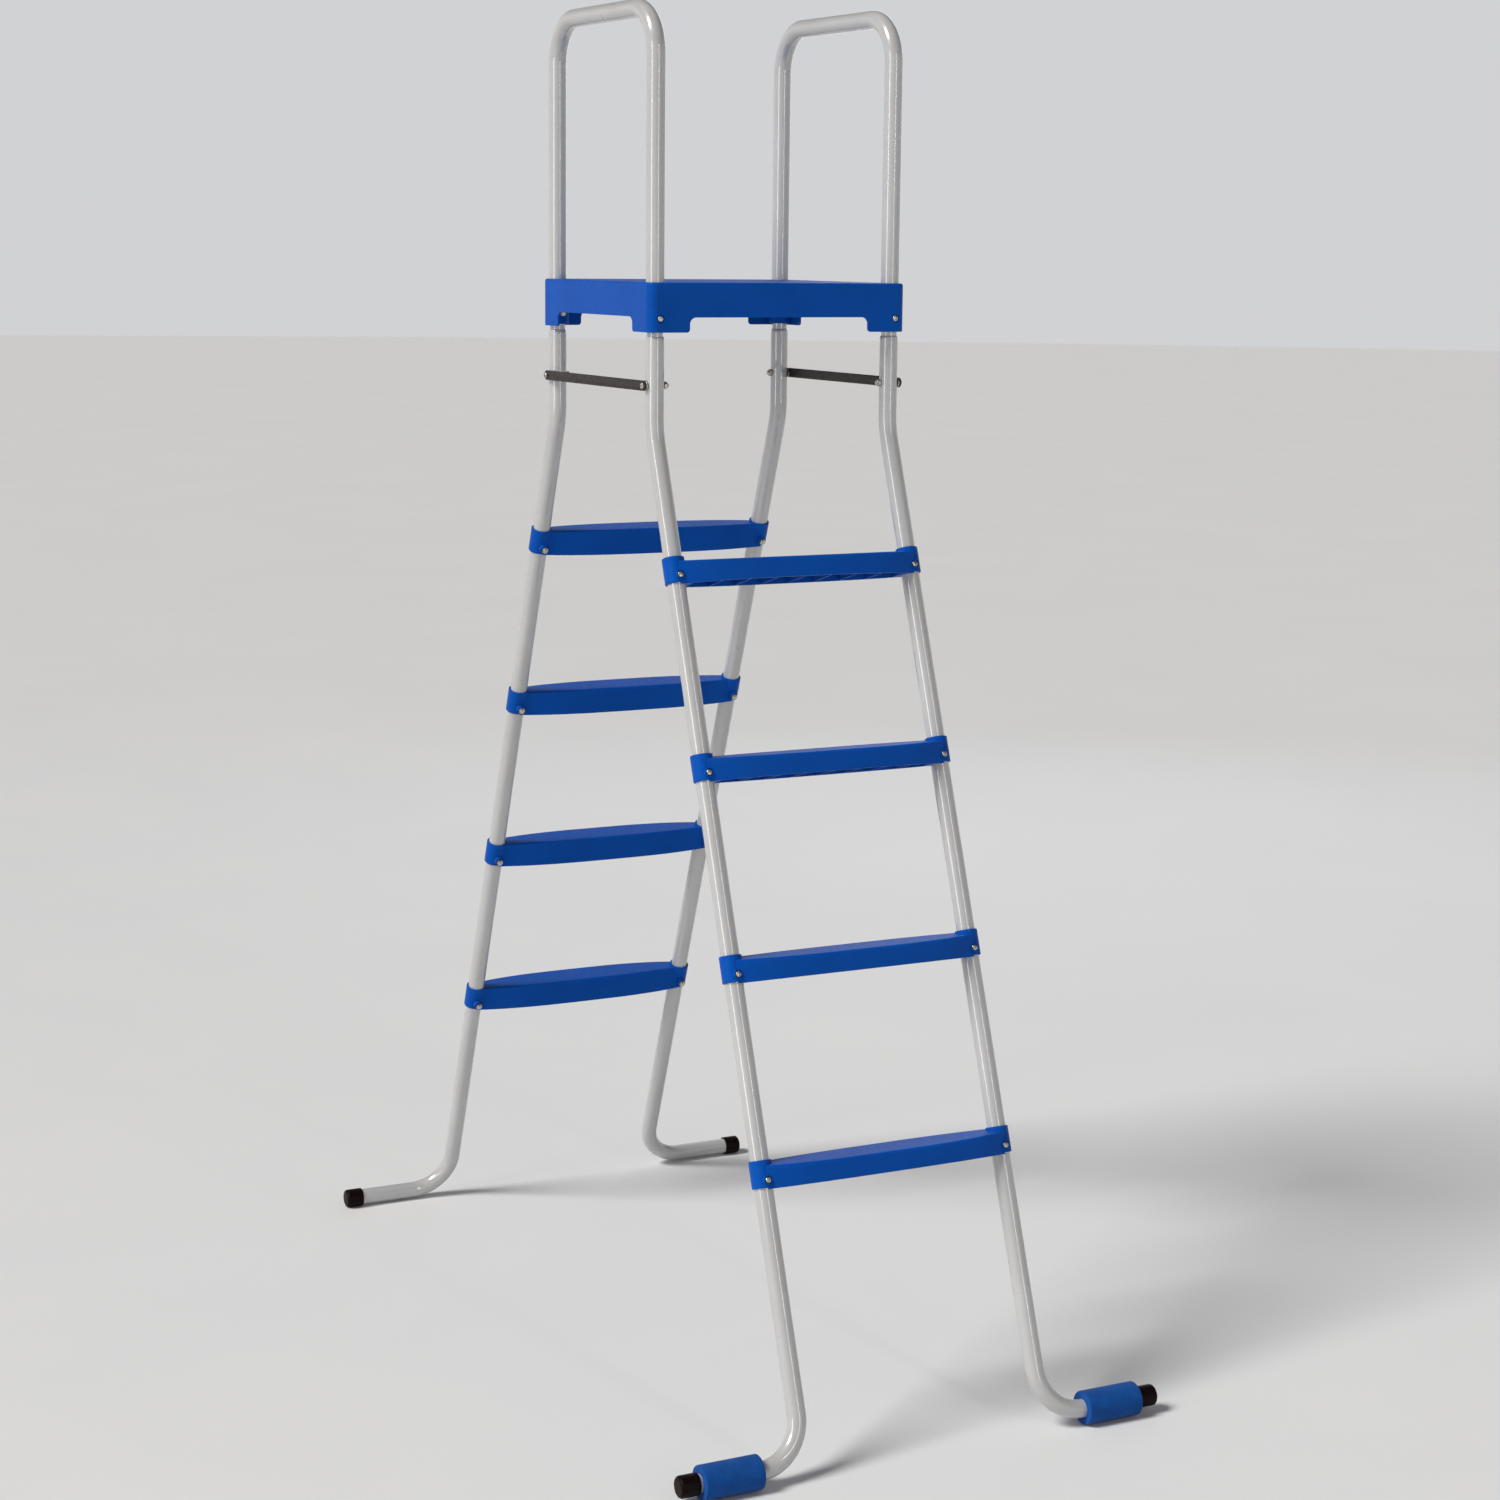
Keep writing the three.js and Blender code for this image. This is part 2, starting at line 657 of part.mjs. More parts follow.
function addFoot(ladder, spot, side, footHeight) {
  const footY = -HALF_DEPTH - (KNEE_HEIGHT - footHeight) * Math.tan(SPLAY);
  const capX = HALF_WIDTH + FOOT_REACH;
  addAlongX(ladder, `end_cap_${spot}`, endCap(), BLACK_RUBBER, side, capX, footY, footHeight);
  if (spot.startsWith('front')) {
    const sleeveX = HALF_WIDTH + SLEEVE_START + SLEEVE_LENGTH;
    addAlongX(
      ladder, `foot_sleeve_${spot}`, footSleeve(), BLUE_FOAM, side, sleeveX, footY, footHeight,
    );
  }
}

function addStepBolts(splayed, stepName, sideNames, distance) {
  const headUnderside = -(BOSS_OUTER - RECESS_DEPTH + GAP);
  const nutOuterFace = BOSS_INNER - RECESS_DEPTH + GAP + NUT_HEIGHT;
  const geometry = bolt(nutOuterFace + THREAD_PROUD - headUnderside);
  for (const side of [-1, 1]) {
    const place = new THREE.Vector3(side * HALF_WIDTH, headUnderside, -distance);
    addMesh(splayed, `${stepName}_bolt_${sideNames[side]}`, geometry, BRIGHT_STEEL, place);
  }
}

// The bolt and nut that pin a leg's neck, a handrail end and the platform skirt together.
function addPlatformFastener(ladder, spot, x) {
  const headUnderside = -(PLATFORM_HALF_Y - RECESS_DEPTH + GAP);
  const nutFace = -(HALF_DEPTH - SOCKET_RADIUS - GAP);
  const shank = nutFace + NUT_HEIGHT + THREAD_PROUD - headUnderside;
  const boltPlace = new THREE.Vector3(x, headUnderside, PLATFORM_BOLT_HEIGHT);
  const nutPlace = new THREE.Vector3(x, nutFace, PLATFORM_BOLT_HEIGHT);
  addMesh(ladder, `platform_bolt_${spot}`, bolt(shank), BRIGHT_STEEL, boltPlace);
  addMesh(ladder, `platform_nut_${spot}`, nut(), BRIGHT_STEEL, nutPlace);
}

// Spacer, bolt and nut that hold one end of a link bar to a leg.
function addLinkFastener(ladder, spot, side) {
  const spacerFace = HALF_WIDTH + TUBE_RADIUS + GAP + SPACER_THICKNESS;
  const barFace = spacerFace + GAP + LINK_BAR_THICKNESS;
  const headFace = barFace + GAP;
  const nutFace = HALF_WIDTH - TUBE_RADIUS - GAP;
  const shank = headFace - nutFace + NUT_HEIGHT + THREAD_PROUD;
  const y = -HALF_DEPTH;
  const z = LINK_HEIGHT;
  addAlongX(ladder, `link_spacer_${spot}`, spacer(), BRIGHT_STEEL, side, spacerFace, y, z);
  addAlongX(ladder, `link_bolt_${spot}`, bolt(shank), BRIGHT_STEEL, side, headFace, y, z);
  addAlongX(ladder, `link_nut_${spot}`, nut(), BRIGHT_STEEL, side, nutFace, y, z);
}

// One ladder, built facing -Y; the rear one is turned half round, which swaps its sides.
function addLadder(root, end, turn, footHeight, treadTilt) {
  const ladder = new THREE.Group();
  ladder.rotation.z = turn;
  root.add(ladder);
  const sideNames = turn === 0 ? { '-1': 'left', 1: 'right' } : { '-1': 'right', 1: 'left' };
  for (const side of [-1, 1]) {
    const spot = `${end}_${sideNames[side]}`;
    addMesh(ladder, `leg_${spot}`, leg(side, footHeight), WHITE_TUBE);
    addFoot(ladder, spot, side, footHeight);
    addPlatformFastener(ladder, spot, side * HALF_WIDTH);
    addLinkFastener(ladder, spot, side);
  }
  const splayed = new THREE.Group();
  splayed.applyMatrix4(splayMatrix());
  ladder.add(splayed);
  const stepGeometry = step(SPLAY - treadTilt);
  for (let i = 0; i < STEP_COUNT; i += 1) {
    const name = `${end}_step_${i + 1}`;
    const distance = stepDistance(i);
    addMesh(splayed, name, stepGeometry, BLUE_PLASTIC, new THREE.Vector3(0, 0, -distance));
    addStepBolts(splayed, name, sideNames, distance);
  }
}

function addLinkBar(root, name, side) {
  const innerFace = HALF_WIDTH + TUBE_RADIUS + GAP + SPACER_THICKNESS + GAP;
  const x = side > 0 ? innerFace : -innerFace - LINK_BAR_THICKNESS;
  addMesh(root, name, linkBar(), DARK_STEEL, new THREE.Vector3(x, 0, LINK_HEIGHT));
}

const ladderModel = new THREE.Group();
addMesh(ladderModel, 'handrail_left', handrail(-1), WHITE_TUBE);
addMesh(ladderModel, 'handrail_right', handrail(1), WHITE_TUBE);
addMesh(ladderModel, 'platform', platform(), BLUE_PLASTIC);
addLinkBar(ladderModel, 'link_bar_left', -1);
addLinkBar(ladderModel, 'link_bar_right', 1);
addLadder(ladderModel, 'front', 0, SLEEVE_RADIUS, FRONT_TREAD_TILT);
addLadder(ladderModel, 'rear', Math.PI, CAP_RADIUS, REAR_TREAD_TILT);

// The front feet reach a little further out than the rear ones; centre the footprint.
const frontReach = SLEEVE_RADIUS - SLEEVE_RADIUS * Math.tan(SPLAY);
const rearReach = CAP_RADIUS - CAP_RADIUS * Math.tan(SPLAY);
ladderModel.position.y = (frontReach - rearReach) / 2;

export default ladderModel;
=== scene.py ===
"""Looks of a pool ladder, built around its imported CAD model.

Metres, +Z up, in the CAD model's own frame: +X to the right across the ladder, front ladder
towards -Y. Every CAD node is replaced by a finer piece of the same size in the same place, and
the nuts behind the step bolts are added. Nothing moves, so every piece rides on "root".
"""

import math

import bmesh
import bpy
from mathutils import Matrix, Vector


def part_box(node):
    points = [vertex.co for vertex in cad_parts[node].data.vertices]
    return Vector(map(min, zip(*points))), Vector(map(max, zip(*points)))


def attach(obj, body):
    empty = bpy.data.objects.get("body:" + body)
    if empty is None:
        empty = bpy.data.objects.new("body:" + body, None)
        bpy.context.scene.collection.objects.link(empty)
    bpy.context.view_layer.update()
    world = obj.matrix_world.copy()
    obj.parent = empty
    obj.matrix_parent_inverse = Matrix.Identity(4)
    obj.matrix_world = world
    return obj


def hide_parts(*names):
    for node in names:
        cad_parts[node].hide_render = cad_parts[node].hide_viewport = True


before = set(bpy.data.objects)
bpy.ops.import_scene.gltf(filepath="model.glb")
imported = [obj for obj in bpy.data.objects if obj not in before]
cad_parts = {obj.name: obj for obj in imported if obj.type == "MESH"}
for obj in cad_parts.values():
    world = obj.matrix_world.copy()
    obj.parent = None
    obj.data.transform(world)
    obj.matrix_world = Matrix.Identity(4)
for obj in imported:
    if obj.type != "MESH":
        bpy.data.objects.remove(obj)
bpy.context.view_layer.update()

# ---------------------------------------------------------------- sizes, as in the CAD model

GAP = 0.0003
SPLAY = math.radians(20)
KNEE_HEIGHT = 1.146
TUBE_RADIUS = 0.011
TUBE_WALL = 0.0012
NECK_RADIUS = 0.0095
RAIL_BEND = 0.055
KNEE_BEND = 0.090
FOOT_BEND = 0.055
NECK_TOP = 1.300
SHOULDER_TOP = 1.257
SHOULDER_BOTTOM = 1.252

FOOT_REACH = 0.1555
SLEEVE_RADIUS = 0.020
SLEEVE_LENGTH = 0.073
SLEEVE_START = 0.056
CAP_RADIUS = 0.01275
CAP_LENGTH = 0.0235
CAP_END_WALL = 0.0035

STEP_COUNT = 4
FIRST_STEP_HEIGHT = 0.980
STEP_PITCH = 0.221
COLLAR_RADIUS = 0.0134
COLLAR_TOP = 0.023
COLLAR_BOTTOM = -0.0085
TREAD_HALF_END = 0.013
TREAD_BOW_OUTER = 0.017
TREAD_BOW_INNER = 0.009
TREAD_TOP = 0.0195
TREAD_OUTER_FACE = 0.024
TREAD_INNER_FACE = 0.033
TREAD_TILT = {"front": math.radians(6.5), "rear": math.radians(4.5)}
STEP_WALL = 0.0024
STEP_TOP_WALL = 0.003
STEP_RIBS = 7
BOSS_RADIUS = 0.0058
BOSS_OUTER = 0.016
BOSS_INNER = 0.018
RECESS_RADIUS = 0.0046
RECESS_DEPTH = 0.0018

PLATFORM_CORNER = 0.011
PLATFORM_WALL = 0.0026
PLATFORM_TOP_WALL = 0.003
PLATFORM_RIB_DEPTH = 0.019
SOCKET_RADIUS = 0.014
SOCKET_BOTTOM = 1.264
TAB_ALONG_X = 0.052
TAB_ALONG_Y = 0.050
CUTOUT_HEIGHT = 0.0175
CUTOUT_FILLET = 0.008
TAB_ROUND = 0.004
PLATFORM_BOLT_HEIGHT = 1.278

LINK_HEIGHT = 1.200
LINK_BAR_WIDTH = 0.012
LINK_BAR_THICKNESS = 0.0025
SPACER_THICKNESS = 0.0015
SPACER_RADIUS = 0.006
SHANK_RADIUS = 0.0025
HEAD_RADIUS = 0.0035
HEAD_HEIGHT = 0.0024
NUT_RADIUS = 0.0044
NUT_HEIGHT = 0.004
THREAD_PROUD = 0.002

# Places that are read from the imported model.
RAIL_LOW, RAIL_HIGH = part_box("handrail_right")
HALF_WIDTH = (RAIL_LOW.x + RAIL_HIGH.x) / 2
CENTRE_Y = (RAIL_LOW.y + RAIL_HIGH.y) / 2
HALF_DEPTH = (RAIL_HIGH.y - RAIL_LOW.y) / 2 - TUBE_RADIUS
RAIL_TOP = RAIL_HIGH.z - TUBE_RADIUS
RAIL_END = RAIL_LOW.z
PLATFORM_LOW, PLATFORM_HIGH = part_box("platform")
PLATFORM_HALF_X = (PLATFORM_HIGH.x - PLATFORM_LOW.x) / 2
PLATFORM_HALF_Y = (PLATFORM_HIGH.y - PLATFORM_LOW.y) / 2

# ---------------------------------------------------------------- mesh helpers

FAR = 0.060  # reach of a cutting tool past what it cuts
TOOL_RIM = 0.001
ROUND_SIDES = 48
SMALL_SIDES = 32
WELD = 1e-5
FLAT_ANGLE = math.radians(0.5)
SHARP_ANGLE = math.radians(35)
MOULDED_EDGE = 0.0005
MOULDED_EDGE_ANGLE = math.radians(40)


def arc(centre, radius, start, end, count):
    """Points on a circle in 2D from one angle to another, in degrees, both ends included."""
    points = []
    for i in range(count + 1):
        angle = math.radians(start + (end - start) * i / count)
        points.append((centre[0] + radius * math.cos(angle), centre[1] + radius * math.sin(angle)))
    return points


def make_mesh(name, vertices, faces):
    """A mesh with its doubled vertices merged, loose edges dropped and faces turned outwards."""
    mesh = bpy.data.meshes.new(name)
    mesh.from_pydata(vertices, [], faces)
    work = bmesh.new()
    work.from_mesh(mesh)
    bmesh.ops.remove_doubles(work, verts=work.verts, dist=1e-7)
    loose = [edge for edge in work.edges if edge.is_wire]
    bmesh.ops.delete(work, geom=loose, context="EDGES")
    bmesh.ops.recalc_face_normals(work, faces=work.faces)
    work.to_mesh(mesh)
    work.free()
    return mesh


def loft(name, rings, loop=False):
    """Skin over rings of equal count. A loop joins the last ring to the first, else ends close."""
    count = len(rings[0])
    vertices = [point for ring in rings for point in ring]
    faces = []
    spans = len(rings) if loop else len(rings) - 1
    for i in range(spans):
        here = i * count
        there = ((i + 1) % len(rings)) * count
        for j in range(count):
            after = (j + 1) % count
            faces.append((here + j, here + after, there + after, there + j))
    if not loop:
        faces.append(tuple(range(count)))
        faces.append(tuple(range((len(rings) - 1) * count, len(rings) * count)))
    return make_mesh(name, vertices, faces)


def lathe(name, profile, sides=ROUND_SIDES):
    """Profile of (radius, height) points turned about +Y; it closes on the axis or on itself."""
    rings = []
    for j in range(sides):
        angle = 2 * math.pi * j / sides
        rings.append([(r * math.cos(angle), h, r * math.sin(angle)) for r, h in profile])
    return loft(name, rings, loop=True)


def prism(name, outline, low, high):
    """An outline in X and Y carried from one height to another."""
    return loft(name, [[(x, y, z) for x, y in outline] for z in (low, high)])


def block(name, low, high):
    outline = [(low[0], low[1]), (high[0], low[1]), (high[0], high[1]), (low[0], high[1])]
    return prism(name, outline, low[2], high[2])


def moved(mesh, matrix):
    mesh.transform(matrix)
    return mesh


def merged(name, meshes):
    """Several meshes as the loose shells of one."""
    work = bmesh.new()
    for mesh in meshes:
        work.from_mesh(mesh)
    made = bpy.data.meshes.new(name)
    work.to_mesh(made)
    work.free()
    return made


def boolean(mesh, tool, operation):
    """The mesh joined with, cut by, or kept only inside the tool mesh."""
    target = bpy.data.objects.new("target", mesh)
    other = bpy.data.objects.new("tool", tool)
    for item in (target, other):
        bpy.context.scene.collection.objects.link(item)
    modifier = target.modifiers.new("boolean", "BOOLEAN")
    modifier.operation = operation
    modifier.solver = "MANIFOLD"
    modifier.object = other
    graph = bpy.context.evaluated_depsgraph_get()
    made = bpy.data.meshes.new_from_object(target.evaluated_get(graph))
    made.materials.clear()  # the solver leaves an empty material slot behind
    bpy.data.objects.remove(target)
    bpy.data.objects.remove(other)
    return made


def cut(mesh, *tools):
    for tool in tools:
        mesh = boolean(mesh, tool, "DIFFERENCE")
    return mesh


def join(mesh, *others):
    for other in others:
        mesh = boolean(mesh, other, "UNION")
    return mesh


def soften(mesh):
    """Rounds every sharp edge of a moulding, and returns the new mesh."""
    work = bmesh.new()
    work.from_mesh(mesh)
    bmesh.ops.remove_doubles(work, verts=work.verts, dist=WELD)
    bmesh.ops.dissolve_limit(work, angle_limit=FLAT_ANGLE, verts=work.verts, edges=work.edges)
    work.to_mesh(mesh)
    work.free()
    item = bpy.data.objects.new("soften", mesh)
    bpy.context.scene.collection.objects.link(item)
    modifier = item.modifiers.new("bevel", "BEVEL")
    modifier.limit_method = "ANGLE"
    modifier.angle_limit = MOULDED_EDGE_ANGLE
    modifier.width = MOULDED_EDGE
    modifier.segments = 2
    modifier.use_clamp_overlap = True
    graph = bpy.context.evaluated_depsgraph_get()
    made = bpy.data.meshes.new_from_object(item.evaluated_get(graph))
    bpy.data.objects.remove(item)
    return made


def show(name, mesh, material, place=None, replaces=None, flat=False):
    """Puts a mesh in the scene as a piece that rides on the ladder."""
    piece = bpy.data.objects.new(name, mesh)
    bpy.context.scene.collection.objects.link(piece)
    if not mesh.materials:
        mesh.materials.append(material)
        mesh.shade_smooth()
        mesh.set_sharp_from_angle(angle=SHARP_ANGLE)
    if place is not None:
        piece.matrix_world = place
    if flat:
        normals = piece.modifiers.new("normals", "WEIGHTED_NORMAL")
        normals.keep_sharp = True
    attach(piece, "root")
    if replaces:
        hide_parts(replaces)
    return piece


# ---------------------------------------------------------------- materials


class Shader:
    """A node material in the making: a Principled surface and what feeds it."""

    def __init__(self, name, **values):
        self.material = bpy.data.materials.new(name)
        self.material.use_nodes = True
        self.nodes = self.material.node_tree.nodes
        self.links = self.material.node_tree.links
        self.surface = self.nodes["Principled BSDF"]
        self.place = self.nodes.new("ShaderNodeTexCoord").outputs["Object"]
        self.height = None
        for socket, value in values.items():
            self.surface.inputs[socket.replace("_", " ")].default_value = value

    def stretched(self, scale):
        mapping = self.nodes.new("ShaderNodeMapping")
        mapping.inputs["Scale"].default_value = scale
        self.links.new(self.place, mapping.inputs["Vector"])
        return mapping.outputs["Vector"]

    def noise(self, scale, detail=3.0, roughness=0.55, place=None):
        node = self.nodes.new("ShaderNodeTexNoise")
        node.inputs["Scale"].default_value = scale
        node.inputs["Detail"].default_value = detail
        node.inputs["Roughness"].default_value = roughness
        self.links.new(place or self.place, node.inputs["Vector"])
        return node.outputs["Fac"]

    def cells(self, scale):
        node = self.nodes.new("ShaderNodeTexVoronoi")
        node.inputs["Scale"].default_value = scale
        self.links.new(self.place, node.inputs["Vector"])
        return node.outputs["Distance"]

    def ranged(self, source, low, high, from_low=0.3, from_high=0.7):
        node = self.nodes.new("ShaderNodeMapRange")
        for socket, value in (
            ("From Min", from_low),
            ("From Max", from_high),
            ("To Min", low),
            ("To Max", high),
        ):
            node.inputs[socket].default_value = value
        self.links.new(source, node.inputs["Value"])
        return node.outputs["Result"]

    def mixed(self, factor, first, second):
        node = self.nodes.new("ShaderNodeMix")
        node.data_type = "RGBA"
        self.links.new(factor, node.inputs["Factor"])
        for socket, value in ((node.inputs["A"], first), (node.inputs["B"], second)):
            if isinstance(value, tuple):
                socket.default_value = (*value, 1)
            else:
                self.links.new(value, socket)
        return node.outputs["Result"]

    def colour(self, source):
        self.links.new(source, self.surface.inputs["Base Color"])

    def roughness(self, source):
        self.links.new(source, self.surface.inputs["Roughness"])

    def bump(self, source, depth):
        """Adds relief of the given depth in metres over what is there already."""
        node = self.nodes.new("ShaderNodeBump")
        node.inputs["Strength"].default_value = 1
        node.inputs["Distance"].default_value = depth
        self.links.new(source, node.inputs["Height"])
        if self.height is not None:
            self.links.new(self.height, node.inputs["Normal"])
        self.height = node.outputs["Normal"]
        self.links.new(self.height, self.surface.inputs["Normal"])


def white_powder_coat():
    shader = Shader("white_powder_coat", Coat_Weight=1.0, Coat_Roughness=0.06, Coat_IOR=1.8)
    cloud = shader.ranged(shader.noise(9), 0, 1)
    tone = shader.mixed(cloud, (0.440, 0.438, 0.437), (0.400, 0.397, 0.395))
    grime = shader.ranged(shader.noise(140, 5, 0.7), 0, 0.20, 0.66, 0.85)
    shader.colour(shader.mixed(grime, tone, (0.38, 0.36, 0.335)))
    shader.roughness(shader.ranged(shader.noise(60, 4), 0.26, 0.38))
    shader.bump(shader.noise(700, 2), 0.000006)
    shader.bump(shader.noise(120, 2), 0.000006)
    return shader.material


def blue_plastic():
    shader = Shader("blue_plastic", IOR=1.22, Specular_Tint=(0.35, 0.62, 1.0, 1.0))
    cloud = shader.ranged(shader.noise(14), 0, 1)
    tone = shader.mixed(cloud, (0.0010, 0.054, 0.310), (0.0015, 0.066, 0.360))
    speck = shader.ranged(shader.noise(900, 2, 0.6), 0, 0.35, 0.35, 0.75)
    tone = shader.mixed(speck, tone, (0.0035, 0.100, 0.470))
    scuff = shader.noise(1, 5, 0.65, shader.stretched((35, 260, 180)))
    scuff = shader.ranged(scuff, 0, 0.16, 0.62, 0.8)
    shader.colour(shader.mixed(scuff, tone, (0.010, 0.115, 0.45)))
    shader.roughness(shader.ranged(shader.noise(300, 4), 0.36, 0.52))
    shader.bump(shader.noise(1100, 2, 0.6), 0.00009)
    shader.bump(shader.noise(40, 2), 0.00015)
    return shader.material


def blue_foam():
    shader = Shader("blue_foam", Specular_IOR_Level=0.1, Sheen_Weight=0.06, Sheen_Roughness=0.5)
    cloud = shader.ranged(shader.noise(60, 4), 0, 1)
    tone = shader.mixed(cloud, (0.0035, 0.055, 0.240), (0.0055, 0.075, 0.310))
    pores = shader.ranged(shader.cells(1100), 0.7, 0, 0.15, 0.5)
    shader.colour(shader.mixed(pores, tone, (0.002, 0.034, 0.160)))
    shader.roughness(shader.ranged(shader.noise(500), 0.80, 0.98))
    shader.bump(shader.cells(1100), 0.00025)
    shader.bump(shader.noise(160, 3), 0.0005)
    return shader.material


def black_rubber():
    shader = Shader("black_rubber", Specular_IOR_Level=0.08)
    cloud = shader.ranged(shader.noise(80, 4), 0, 1)
    tone = shader.mixed(cloud, (0.0040, 0.0012, 0.0010), (0.0065, 0.0026, 0.0022))
    dust = shader.ranged(shader.noise(600, 4, 0.7), 0, 0.25, 0.6, 0.85)
    shader.colour(shader.mixed(dust, tone, (0.014, 0.009, 0.008)))
    shader.roughness(shader.ranged(shader.noise(250, 4), 0.30, 0.52))
    shader.bump(shader.noise(1300, 2), 0.00005)
    shader.bump(shader.noise(130, 2), 0.00010)
    return shader.material


def dark_bar():
    shader = Shader("dark_bar", Metallic=0.55)
    cloud = shader.ranged(shader.noise(120, 5, 0.65), 0, 1)
    tone = shader.mixed(cloud, (0.026, 0.020, 0.018), (0.050, 0.040, 0.036))
    worn = shader.ranged(shader.noise(500, 4, 0.7), 0, 0.6, 0.62, 0.78)
    shader.colour(shader.mixed(worn, tone, (0.10, 0.085, 0.078)))
    shader.roughness(shader.ranged(shader.noise(200, 4), 0.36, 0.60))
    shader.bump(shader.noise(1, 3, 0.6, shader.stretched((900, 60, 900))), 0.00005)
    shader.bump(shader.noise(350, 3), 0.00010)
    return shader.material


def bright_steel():
    shader = Shader("bright_steel", Metallic=1.0)
    cloud = shader.ranged(shader.noise(400, 4), 0, 1)
    tone = shader.mixed(cloud, (0.62, 0.58, 0.53), (0.42, 0.38, 0.34))
    stain = shader.ranged(shader.noise(900, 4, 0.7), 0, 0.5, 0.6, 0.8)
    shader.colour(shader.mixed(stain, tone, (0.20, 0.13, 0.09)))
    shader.roughness(shader.ranged(shader.noise(700, 4), 0.22, 0.42))
    shader.bump(shader.noise(2500, 2), 0.00002)
    shader.bump(shader.noise(300, 2), 0.00004)
    return shader.material


def pale_floor():
    shader = Shader("pale_floor")
    cloud = shader.ranged(shader.noise(1.5), 0, 1)
    shader.colour(shader.mixed(cloud, (0.72, 0.72, 0.72), (0.705, 0.705, 0.71)))
    shader.roughness(shader.ranged(shader.noise(4), 0.70, 0.80))
    return shader.material


WHITE = white_powder_coat()
BLUE = blue_plastic()
FOAM = blue_foam()
RUBBER = black_rubber()
BAR = dark_bar()
STEEL = bright_steel()

# ---------------------------------------------------------------- places

SHIFT = Matrix.Translation((0, CENTRE_Y, 0))
TURN = {"front": Matrix.Identity(4), "rear": Matrix.Rotation(math.pi, 4, "Z")}
SIDES = {("front", -1): "left", ("front", 1): "right", ("rear", -1): "right", ("rear", 1): "left"}
FIRST_BOLT_TURN = math.radians(55)
BOLT_TURN_STEP = math.radians(37)
KNEES = Matrix.Translation((0, -HALF_DEPTH, KNEE_HEIGHT)) @ Matrix.Rotation(-SPLAY, 4, "X")


def on_ladder(end, *parts):
    """Places a piece that is made in the frame of the ladder whose outer side faces -Y."""
    place = SHIFT @ TURN[end]
    for part in parts:
        place = place @ part
    return place


def step_distance(index):
    height = FIRST_STEP_HEIGHT - index * STEP_PITCH
    return (KNEE_HEIGHT - height) / math.cos(SPLAY)


def facing_inwards(side, x, y, z):
    """For a piece made along +Y, which then points from one side towards the middle."""
    return Matrix.Translation((side * x, y, z)) @ Matrix.Rotation(side * math.pi / 2, 4, "Z")


def bolt_turn(index):
    """A turn about a bolt's axis, different for each index."""
    return Matrix.Rotation(FIRST_BOLT_TURN + BOLT_TURN_STEP * index, 4, "Y")


# ---------------------------------------------------------------- bent tubes

BEND_STEP = math.radians(3)
SHOULDER_STEPS = 8


def stations_along(corners):
    """Points and directions along straight runs and round bends through (point, bend) corners."""
    stations = []
    for i, (point, bend) in enumerate(corners):
        before = corners[max(i - 1, 0)][0]
        after = corners[min(i + 1, len(corners) - 1)][0]
        if not bend:
            stations.append((point, (after - before).normalized()))
            continue
        inward = (point - before).normalized()
        outward = (after - point).normalized()
        turn = inward.angle(outward)
        to_centre = (outward - inward * inward.dot(outward)).normalized()
        start = point - inward * bend * math.tan(turn / 2)
        steps = math.ceil(turn / BEND_STEP)
        for k in range(steps + 1):
            angle = turn * k / steps
            place = start + inward * bend * math.sin(angle)
            place += to_centre * bend * (1 - math.cos(angle))
            stations.append((place, inward * math.cos(angle) + to_centre * math.sin(angle)))
    return stations


def tube(name, corners, radius_at=None):
    """A round tube along corners, with its bore and rounded rims."""
    stations = stations_along(corners)
    lip = TUBE_WALL / 4
    first, last = stations[0], stations[-1]
    stations.insert(1, (first[0] + first[1] * lip, first[1]))
    stations.insert(-1, (last[0] - last[1] * lip, last[1]))
    side = first[1].orthogonal().normalized()
    direction = first[1]
    outer, inner = [], []
    for i, (point, tangent) in enumerate(stations):
        side = direction.rotation_difference(tangent) @ side
        direction = tangent
        other = tangent.cross(side)
        radius = radius_at(point) if radius_at else TUBE_RADIUS
        rim = lip if i in (0, len(stations) - 1) else 0
        for ring, size in ((outer, radius - rim), (inner, radius - TUBE_WALL)):
            ring.append([
                point + side * size * math.cos(a) + other * size * math.sin(a)
                for a in (2 * math.pi * j / ROUND_SIDES for j in range(ROUND_SIDES))
            ])
    return loft(name, outer + inner[::-1], loop=True)


def handrail(side):
    x = side * HALF_WIDTH
    return tube("handrail", [
        (Vector((x, -HALF_DEPTH, RAIL_END)), 0),
        (Vector((x, -HALF_DEPTH, RAIL_TOP)), RAIL_BEND),
        (Vector((x, HALF_DEPTH, RAIL_TOP)), RAIL_BEND),
        (Vector((x, HALF_DEPTH, RAIL_END)), 0),
    ])


def leg_radius(point):
    """Tube radius at a height: the swaged neck opens out over its shoulder in a smooth curve."""
    share = (point.z - SHOULDER_BOTTOM) / (SHOULDER_TOP - SHOULDER_BOTTOM)
    share = min(max(share, 0), 1)
    return TUBE_RADIUS - (TUBE_RADIUS - NECK_RADIUS) * (1 - math.sqrt(1 - share ** 2))


